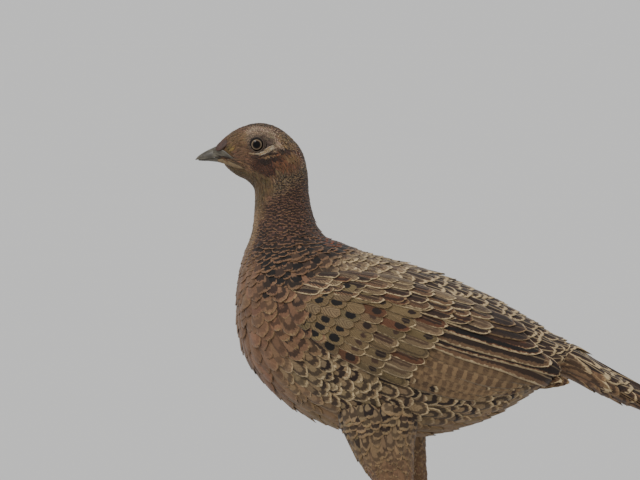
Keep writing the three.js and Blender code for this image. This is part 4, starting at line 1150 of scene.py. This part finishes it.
# Hand modelling
def drawOut(rows, upright=False):  # extrudes what is selected from row to row: x, y, z, width and depth
    for a, b in zip(rows, rows[1:]):
        shift = (np.array(b[:3]) - np.array(a[:3])) * mm
        bpy.ops.mesh.extrude_region_move(TRANSFORM_OT_translate={"value": tuple(shift)})
        wide, deep = b[3] / a[3], b[4] / a[4]
        size = (deep, wide, 1) if upright else (1, wide, deep)
        bpy.ops.transform.resize(value=size, center_override=tuple(inMetres(b[:3])))


def startRing(row, sides, upright=False):  # a filled ring at the first row
    deselect()
    turn = (0, 0, 0) if upright else (0, math.pi / 2, 0)
    bpy.ops.mesh.primitive_circle_add(vertices=sides, radius=mm, fill_type="NGON", rotation=turn,
                                      location=inMetres(row[:3]))
    piece = bpy.context.object
    bpy.ops.object.transform_apply(location=True, rotation=True, scale=True)
    bpy.ops.object.mode_set(mode="EDIT")
    bpy.ops.mesh.select_all(action="SELECT")
    size = (row[4], row[3], 1) if upright else (1, row[3], row[4])
    bpy.ops.transform.resize(value=size, center_override=tuple(inMetres(row[:3])))
    return piece


def closeShape(piece, name, material, angle=45):  # normals outwards, origin at the world's, smooth shading
    bpy.ops.mesh.select_all(action="SELECT")
    bpy.ops.mesh.remove_doubles(threshold=0.00001)
    bpy.ops.mesh.normals_make_consistent(inside=False)
    bpy.ops.object.mode_set(mode="OBJECT")
    bpy.ops.object.transform_apply(location=True, rotation=True, scale=True)
    bpy.ops.object.shade_smooth_by_angle(angle=math.radians(angle))
    piece.name = name
    piece.data.materials.clear()
    piece.data.materials.append(material)
    return piece


def joinAs(name, parts):
    deselect()
    for part in parts:
        part.select_set(True)
    bpy.context.view_layer.objects.active = parts[0]
    bpy.ops.object.join()
    parts[0].name = name
    return parts[0]


# Bill
bill = {
    "sides": 40,
    # x, z of the mouth line, half width, height or depth
    "upper": ((-18.0, 301.0, 5.8, 7.4), (-22.0, 301.2, 5.6, 7.4), (-25.6, 300.8, 5.2, 7.2),
              (-28.6, 300.2, 4.6, 6.4), (-31.6, 299.8, 3.8, 5.4), (-34.6, 299.4, 2.9, 4.2),
              (-37.2, 299.0, 1.9, 2.9), (-38.8, 298.8, 1.1, 1.7), (-39.6, 298.6, 0.55, 0.9),
              (-39.9, 298.5, 0.25, 0.5)),
    "lower": ((-18.0, 301.0, 5.4, 5.6), (-22.5, 300.9, 5.0, 4.4), (-25.6, 300.5, 4.4, 3.2),
              (-28.6, 300.0, 3.7, 2.4), (-31.6, 299.75, 2.9, 1.8), (-34.6, 299.4, 2.0, 1.4),
              (-36.9, 299.0, 1.0, 0.9), (-37.9, 298.85, 0.5, 0.5)),
    # x, z of the middle, half height and how far it stands off the face
    "horn": ((-28.4, 303.6, 2.4, -1.4), (-26.6, 303.9, 2.9, -0.4), (-24.5, 303.8, 2.8, 0.05),
             (-22.0, 303.4, 2.2, 0.3), (-19.6, 302.4, 1.7, 0.35), (-17.6, 301.2, 1.1, 0.3),
             (-15.8, 300.2, 0.6, 0.2), (-14.4, 299.6, 0.3, 0.05)),
    "gape": ((-25.4, 298.6, 0.7, -0.5), (-22.6, 298.4, 1.5, -0.1), (-19.8, 297.6, 1.9, 0.1),
             (-16.8, 296.6, 1.9, 0.15), (-14.0, 295.5, 1.6, 0.15), (-11.4, 294.5, 1.2, 0.1),
             (-9.2, 293.7, 0.7, 0.0), (-7.6, 293.1, 0.3, -0.2)),
    # the mouth line: a thin dark ridge whose colour is painted shade, standing for the shadow in the crease
    # where the bill and gape close
    "mouth": ((-27.0, 300.6, 0.32, 0.2), (-23.0, 300.9, 0.34, 0.45), (-19.0, 300.2, 0.4, 0.45),
              (-15.6, 299.0, 0.4, 0.4), (-12.0, 297.2, 0.34, 0.35), (-8.4, 295.4, 0.28, 0.3),
              (-6.6, 294.5, 0.15, 0.1)),
    "ridgeSides": 18, "ridgeSunk": 0.5,
    "leastHalf": (5.4, 5.0), "faceFrom": -26,  # least half width of the face, and of the bill before it
    "flap": {"at": (-22.8, 308.3), "size": (4.8, 0.9, 2.9), "turn": -40, "lean": 40},
}


def hornMaterial(name, light, shadeColour, roughness=0.42):
    material, tree, shader = newMaterial(name)
    place = objectPlace(tree)
    drawn = put(tree, "ShaderNodeMapping", {"Vector": place, "Scale": (90, 900, 900)}).outputs[0]
    grain = noise(tree, drawn, 1.0, 4, 0.6)
    cloud = noise(tree, place, 240, 3)
    mixed = blend(tree, step(tree, grain, 0.35, 0.7), light, shadeColour)
    colour = blend(tree, step(tree, cloud, 0.3, 0.75), mixed, tuple(np.array(shadeColour) * 0.8))
    tree.links.new(colour, shader.inputs["Base Color"])
    setShader(shader, roughness=roughness, specular=0.45)
    bump(tree, shader, grain, 0.25, 0.0002)
    return material


billHorn = hornMaterial("billHorn", screenColour(104, 98, 84), screenColour(66, 60, 50))
clawHorn = hornMaterial("clawHorn", screenColour(84, 72, 60), screenColour(46, 38, 33))


def makeMandible(name, rows, upper, node):
    rows = [(x, 0, z, half, height) for x, z, half, height in rows]
    piece = startRing(rows[0], bill["sides"])
    facing = (0, 0, 1) if upper else (0, 0, -1)
    bpy.ops.mesh.bisect(plane_co=tuple(inMetres(rows[0][:3])), plane_no=facing, clear_inner=True)
    bpy.ops.mesh.select_all(action="SELECT")
    drawOut(rows)
    return finished(closeShape(piece, name, billHorn, 50), "bill_horn", node)


def faceHalf(x, z):  # half width of the face, or of the bill before it
    least = bill["leastHalf"][0 if x > bill["faceFrom"] else 1]
    return max(float(trunkHalf(np.array([x]), np.array([z]))[0]), least)


def makeRidge(name, rows, side, material):  # a low ridge that lies along the side of the face
    sunk = bill["ridgeSunk"]
    rows = [(x, side * (faceHalf(x, z) + off - sunk), z, sunk + 0.2 * high, high)
            for x, z, high, off in rows]
    piece = startRing(rows[0], bill["ridgeSides"])
    drawOut(rows)
    return closeShape(piece, name, material, 60)


def makeFlap(side):
    flap = bill["flap"]
    x, z = flap["at"]
    deselect()
    bpy.ops.mesh.primitive_uv_sphere_add(segments=36, ring_count=24, radius=mm,
                                         location=inMetres((x, side * faceHalf(x, z), z)))
    piece = bpy.context.object
    piece.scale = flap["size"]
    piece.rotation_euler = (side * math.radians(flap["lean"]), math.radians(flap["turn"]), 0)
    bpy.ops.object.transform_apply(location=True, rotation=True, scale=True)
    bpy.ops.object.mode_set(mode="EDIT")
    return closeShape(piece, "flap", flapSkin, 60)


def softSkinMaterial(name, light, dark, roughness=0.55):
    material, tree, shader = newMaterial(name)
    place = objectPlace(tree)
    pits = put(tree, "ShaderNodeTexVoronoi", {"Vector": place, "Scale": 1600.0}).outputs["Distance"]
    cloud = noise(tree, place, 350, 4)
    tint = blend(tree, step(tree, cloud, 0.3, 0.7), light, dark)
    tint = blend(tree, 0.5, tint, blend(tree, pits, light, dark))
    tree.links.new(tint, shader.inputs["Base Color"])
    setShader(shader, roughness=roughness, specular=0.3)
    bump(tree, shader, pits, 0.5, 0.0002)
    return material


flapSkin = softSkinMaterial("flapSkin", screenColour(94, 70, 60), screenColour(50, 36, 32))
gapeSkin = softSkinMaterial("gapeSkin", screenColour(130, 110, 80), screenColour(96, 80, 60))
# The mouth line's dark colour is painted shade: the shadow in the crease where the closed bill and gape meet
mouthCreaseShade = softSkinMaterial("mouthCreaseShade", screenColour(58, 40, 32), screenColour(34, 24, 20))


def makeFace():
    for name, key, material in (("billHorn", "horn", billHorn), ("gapes", "gape", gapeSkin),
                                ("mouthLines", "mouth", mouthCreaseShade)):
        ridges = [makeRidge(key, bill[key], side, material) for side in (-1, 1)]
        finished(joinAs(name, ridges), "bill_horn")
    finished(joinAs("nostrilFlaps", [makeFlap(side) for side in (-1, 1)]), "bill_horn")


makeMandible("upperBill", bill["upper"], True, "upper_bill")
makeMandible("lowerBill", bill["lower"], False, "lower_bill")
makeFace()
print("bill made")

# The white crescent behind and below the eye, and the dark feathers under it, lying along the curve
crescentLook = [look("white", "dawn", "buff", (0, 0, 0, 0.2), (0.2, 0, 0, 0)),
                look("buff", "white", "umber", (0, 0, 0, 0.4), (0.3, 0, 0, 0))]
underLook = [look("dark", "umber", "dark"), look("umber", "liver", "dark")]
crescentRows = [
    {"count": 12, "roots": ((-5, -7.4), (9, -6.6)), "tips": ((-0.6, -8.4), (14.4, -5.2)), "width": 1.9,
     "rise": (0.3, 0.7), "stray": 0.3, "looks": underLook},
    {"count": 6, "roots": ((-4.8, -5.8), (-0.6, -6.2)), "tips": ((-1.4, -6.3), (3.4, -6.2)), "width": 1.0,
     "rise": (0.5, 0.9), "stray": 0.15, "looks": crescentLook[1:]},
    {"count": 13, "roots": ((-0.4, -6.3), (5.4, -5.0)), "tips": ((3.6, -6.4), (9.8, -3.4)), "width": 1.7,
     "rise": (0.6, 1.0), "stray": 0.3, "looks": crescentLook},
    {"count": 12, "roots": ((3.4, -5.4), (7.6, -3.8)), "tips": ((7.6, -4.6), (12.0, -1.9)), "width": 1.5,
     "rise": (0.7, 1.1), "stray": 0.45, "looks": crescentLook},
    {"count": 7, "roots": ((4.8, -4.2), (7.4, -2.9)), "tips": ((8.4, -3.2), (11.6, -1.2)), "width": 1.3,
     "rise": (0.8, 1.1), "stray": 0.35, "looks": crescentLook},
]


def makeCrescent(side, name):
    surface = lambda a, b: np.stack([a, side * trunkHalf(a, b + eyeHeight), b + eyeHeight], -1)
    within = lambda f: np.stack([f["a"], f["a"] * 0, f["b"] + eyeHeight], -1)
    pace = (0.4, 0.4)
    piece = rowFeathers("crescent" + name, surface, crescentRows, "head", (4, 5), within, -side, pace=pace)
    finished(piece, "head_plumage")


for side, name in bothSides:
    makeCrescent(side, name)
print("face feathers laid")

# Eyes: a ball with its pupil, iris and pale ring, and two rings of lid skin, each with radius and thickness
eye = {"pupil": 2.2, "iris": 3.15, "lid": (4.8, 0.55), "fold": (5.8, 0.42), "lidSunk": 0.1}


def eyeMaterial():
    material, tree, shader = newMaterial("eyeGlass")
    shift = tuple(-inMetres((0, 0, eyeHeight)))
    centred = put(tree, "ShaderNodeMapping", {"Vector": objectPlace(tree), "Location": shift}).outputs[0]
    x, _, z = put(tree, "ShaderNodeSeparateXYZ", {0: centred}).outputs
    far = calc(tree, "POWER", calc(tree, "ADD", calc(tree, "POWER", x, 2), calc(tree, "POWER", z, 2)), 0.5)
    far = calc(tree, "DIVIDE", far, mm)
    turn = calc(tree, "ARCTAN2", z, x)
    polar = {0: calc(tree, "MULTIPLY", turn, 9), 1: calc(tree, "MULTIPLY", far, 0.5)}
    rays = noise(tree, put(tree, "ShaderNodeCombineXYZ", polar).outputs[0], 1.6, 3)
    iris = blend(tree, step(tree, rays, 0.3, 0.7), screenColour(72, 55, 41), screenColour(40, 30, 24))
    beyond = lambda radius, start, end: step(tree, far, radius + start, radius + end)
    ring = blend(tree, beyond(eye["iris"], -0.5, -0.3), iris, screenColour(124, 108, 86))
    edge = blend(tree, beyond(eye["iris"], 0, 0.25), ring, screenColour(26, 20, 17))
    colour = blend(tree, beyond(eye["pupil"], -0.12, 0.12), (0.002, 0.002, 0.002), edge)
    tree.links.new(colour, shader.inputs["Base Color"])
    setShader(shader, roughness=0.15, specular=0.08, coat=0.16, coatRoughness=0.02)
    return material


def lidMaterial():
    material, tree, shader = newMaterial("lidSkin")
    place = objectPlace(tree)
    beads = put(tree, "ShaderNodeTexVoronoi", {"Vector": place, "Scale": 1300.0}).outputs["Distance"]
    tint = blend(tree, beads, screenColour(84, 68, 55), screenColour(44, 34, 28))
    tree.links.new(tint, shader.inputs["Base Color"])
    setShader(shader, roughness=0.6, specular=0.35)
    bump(tree, shader, beads, 0.6, 0.0003)
    return material


eyeGlass = eyeMaterial()
lidSkin = lidMaterial()


def makeEye(side, name):
    deselect()
    bpy.ops.mesh.primitive_uv_sphere_add(segments=64, ring_count=40, radius=eyeRadius * mm,
                                         location=inMetres((0, side * eyeAside, eyeHeight)),
                                         rotation=(math.pi / 2, 0, 0))
    ball = bpy.context.object
    bpy.ops.object.transform_apply(location=True, rotation=True, scale=True)
    bpy.ops.object.mode_set(mode="EDIT")
    finished(closeShape(ball, "eyeBall" + name, eyeGlass, 60), "eye", "eye_" + name.lower())
    rings = []
    for radius, thick in (eye["lid"], eye["fold"]):
        deselect()
        bpy.ops.mesh.primitive_torus_add(major_segments=72, minor_segments=14, major_radius=radius * mm,
                                         minor_radius=thick * mm, rotation=(math.pi / 2, 0, 0),
                                         location=inMetres((0, 0, eyeHeight)))
        ring = bpy.context.object
        bpy.ops.object.transform_apply(location=True, rotation=True, scale=True)
        at = np.empty(len(ring.data.vertices) * 3)
        ring.data.vertices.foreach_get("co", at)
        at = (at.reshape(-1, 3) - origin) / mm
        at[:, 1] += side * (trunkHalf(at[:, 0], at[:, 2]) - eye["lidSunk"])
        ring.data.vertices.foreach_set("co", inMetres(at).ravel())
        bpy.ops.object.mode_set(mode="EDIT")
        rings.append(closeShape(ring, "lid", lidSkin, 60))
    finished(joinAs("eyeLids" + name, rings), "head_plumage")


for side, name in bothSides:
    makeEye(side, name)
print("eyes made")


# Shanks, feet and claws
def legMaterial():
    material, tree, shader = newMaterial("legScale")
    place = objectPlace(tree)
    cells = put(tree, "ShaderNodeTexVoronoi", {"Vector": place, "Scale": 700.0}, feature="DISTANCE_TO_EDGE")
    seams = step(tree, cells.outputs["Distance"], 0.0, 0.12)
    cloud = noise(tree, place, 160, 4)
    base = blend(tree, cloud, screenColour(124, 108, 92), screenColour(88, 75, 64))
    colour = blend(tree, seams, screenColour(64, 54, 46), base)
    tree.links.new(colour, shader.inputs["Base Color"])
    setShader(shader, roughness=0.5, specular=0.4)
    bump(tree, shader, seams, 0.35, 0.0003)
    return material


legScale = legMaterial()
shank = {
    "sides": 20, "scutes": 16, "radius": 3.1, "foot": 11,
    "from": 0.09, "run": 0.87,  # shares of the shank that the scutes cover
    "thin": (0.86, 1.12), "full": (0.95, 1.24),  # width and depth between scutes and on them, in radii
    "edge": 0.008, "scute": 0.046, "swell": 0.2,
    "top": ((-0.05, 4.4, 5.0), (0.05, 4.1, 4.7)), "end": (1.0, 3.6, 4.3),
}
toes = {
    "inner": {"bearing": -27, "length": 29, "joints": 2, "thick": 0.92},
    "middle": {"bearing": 2, "length": 43, "joints": 3, "thick": 1.0},
    "outer": {"bearing": 33, "length": 33, "joints": 4, "thick": 0.88},
    "hind": {"bearing": 172, "length": 12, "joints": 1, "thick": 0.72},
}
toeSet = {
    "radius": 3.0, "sides": 16, "rings": 8,  # rings of each joint
    "taper": (1.12, 0.36), "pad": 0.12, "ridge": 0.05,
    "hind": {"from": 1, "startZ": 7.0, "endZ": 4.2}, "startZ": 3.4, "endZ": 0.86,
    "tip": (0.9, 0.72),
    "floor": 0.00005,  # metres, where the soles are cut flat
}
clawSet = {
    "length": 9.5, "hindLength": 0.7, "girth": 0.66, "set": 0.4,
    "at": (0, 0.15, 0.3, 0.45, 0.6, 0.75, 0.88, 1),
    "arch": 0.6, "tipZ": 0.35, "taper": (0.86, 1.3), "deep": 1.15,
}
hub = ((0, 12.5, 3.5, 4.2), (0, 8, 4.2, 4.8), (0, 5.5, 4.9, 5.5), (-0.5, 2.6, 5.3, 6.0),
       (-0.5, 0.9, 5.0, 5.7), (-0.5, 0.1, 4.4, 5.2))  # x, z, half width and depth


def makeShank(side, name):
    k = legPoints(side)
    foot = np.array([k["ball"][0], k["ball"][1], shank["foot"]])
    along = lambda t: tuple(k["ankle"] * (1 - t) + foot * t)
    rows = [(*along(t), wide, deep) for t, wide, deep in shank["top"]]
    for i in range(shank["scutes"]):
        t = shank["from"] + shank["run"] * i / shank["scutes"]
        radius = shank["radius"] * (1 + shank["swell"] * float(smooth(0.75, 1.0, t)))
        thin, full = ([share * radius for share in shank[key]] for key in ("thin", "full"))
        rows += [(*along(t), *thin), (*along(t + shank["edge"]), *full), (*along(t + shank["scute"]), *full)]
    t, wide, deep = shank["end"]
    rows.append((*along(t), wide, deep))
    piece = startRing(rows[0], shank["sides"], upright=True)
    drawOut(rows, upright=True)
    finished(closeShape(piece, "shank" + name, legScale, 50), "leg_scale", "shank_" + name.lower())


def turned(piece, side, bearing, k):  # sets a toe drawn along -X from the origin at its bearing on the foot
    piece.rotation_euler = (0, 0, -side * math.radians(bearing))
    piece.location = tuple(inMetres((k["ball"][0], k["ball"][1], 0)))
    bpy.context.view_layer.objects.active = piece
    deselect()
    piece.select_set(True)
    bpy.ops.object.transform_apply(location=True, rotation=True, scale=True)


def makeToe(toe, hind, radius, endZ):
    root, startZ = (toeSet["hind"]["from"], toeSet["hind"]["startZ"]) if hind else (0, toeSet["startZ"])
    broad, taper = toeSet["taper"]
    rows = []
    steps = toe["joints"] * toeSet["rings"]
    for i in range(steps + 1):
        t = i / steps
        pad = 1 + toeSet["pad"] * math.cos(fullTurn * toe["joints"] * t)
        wide = radius * (broad - taper * t) * pad * (1 + toeSet["ridge"] * (i % 2))
        z = startZ + (endZ - startZ) * t if hind else max(wide * 0.9, 0.5)
        rows.append((-root - (toe["length"] - root) * t, 0, z, wide, wide))
    ahead, size = toeSet["tip"]
    rows.append((rows[-1][0] - ahead, 0, rows[-1][2], wide * size, wide * size))
    rows = [(x - origin[0] / mm, *rest) for x, *rest in rows]
    piece = startRing(rows[0], toeSet["sides"])
    drawOut(rows)
    if not hind:
        sole = (0, 0, toeSet["floor"])
        bpy.ops.mesh.select_all(action="SELECT")
        bpy.ops.mesh.bisect(plane_co=sole, plane_no=(0, 0, 1), clear_inner=True, use_fill=True)
    return closeShape(piece, "toe", legScale, 60)


def makeClaw(name, toe, hind, radius, endZ):
    length = clawSet["length"] * (clawSet["hindLength"] if hind else toe["thick"])
    shrink, power = clawSet["taper"]
    rows = []
    for t in clawSet["at"]:
        arch = clawSet["arch"] * math.sin(math.pi * t * 0.7) - (endZ - clawSet["tipZ"]) * t * t
        size = radius * clawSet["girth"] * (1 - shrink * t ** power)
        x = -toe["length"] + clawSet["set"] - length * t - origin[0] / mm
        rows.append((x, 0, endZ + arch, size, size * clawSet["deep"]))
    claw = startRing(rows[0], toeSet["sides"])
    drawOut(rows)
    return closeShape(claw, name, clawHorn, 60)


def makeFoot(side, name):
    k = legPoints(side)
    x, y = k["ball"][0], k["ball"][1]
    rows = [(x + dx, y, z, wide, deep) for dx, z, wide, deep in hub]
    piece = startRing(rows[0], 24, upright=True)
    drawOut(rows, upright=True)
    parts = [closeShape(piece, "hub", legScale, 60)]
    for key, toe in toes.items():
        hind = key == "hind"
        radius = toeSet["radius"] * toe["thick"]
        endZ = toeSet["hind"]["endZ"] if hind else radius * toeSet["endZ"]
        piece = makeToe(toe, hind, radius, endZ)
        turned(piece, side, toe["bearing"], k)
        parts.append(piece)
        claw = makeClaw("claw" + key.capitalize() + name, toe, hind, radius, endZ)
        turned(claw, side, toe["bearing"], k)
        finished(claw, "claw_horn", "claw_" + key + "_" + name.lower())
    finished(joinAs("foot" + name, parts), "leg_scale", "foot_" + name.lower())


for side, name in bothSides:
    makeShank(side, name)
    makeFoot(side, name)
print("legs made")

# Floor and light
studio = {
    "floorSize": 900, "floorDrop": 0.0002,  # metres
    "floor": (0.653, 0.653, 0.650),
    "sky": (0.87, 0.87, 0.866),
    "skyStrength": 0.82,
    "sun": {"strength": 1.6, "angle": 30, "height": 48, "bearing": -32},  # degrees
}


def makeStage():
    bpy.ops.mesh.primitive_plane_add(size=studio["floorSize"], location=(0, 0, -studio["floorDrop"]))
    ground = bpy.context.object
    ground.name = "floor"
    material, tree, shader = newMaterial("floorPaper")
    cloud = noise(tree, objectPlace(tree), 3.0, 3)
    light, dark = (tuple(c * share for c in studio["floor"]) for share in (1.01, 0.99))
    tint = blend(tree, cloud, light, dark)
    tree.links.new(tint, shader.inputs["Base Color"])
    setShader(shader, roughness=0.95, specular=0.1)
    ground.data.materials.append(material)
    world = bpy.data.worlds.new("studio")
    world.use_nodes = True
    background = world.node_tree.nodes["Background"]
    background.inputs[0].default_value = (*studio["sky"], 1)
    background.inputs[1].default_value = studio["skyStrength"]
    bpy.context.scene.world = world
    sun = studio["sun"]
    bpy.ops.object.light_add(type="SUN", location=(-1, -1, 2))
    lamp = bpy.context.object
    lamp.name = "softSun"
    lamp.data.energy = sun["strength"]
    lamp.data.angle = math.radians(sun["angle"])
    lamp.rotation_euler = (math.radians(90 - sun["height"]), 0, math.radians(sun["bearing"]))


makeStage()
print("stage set")
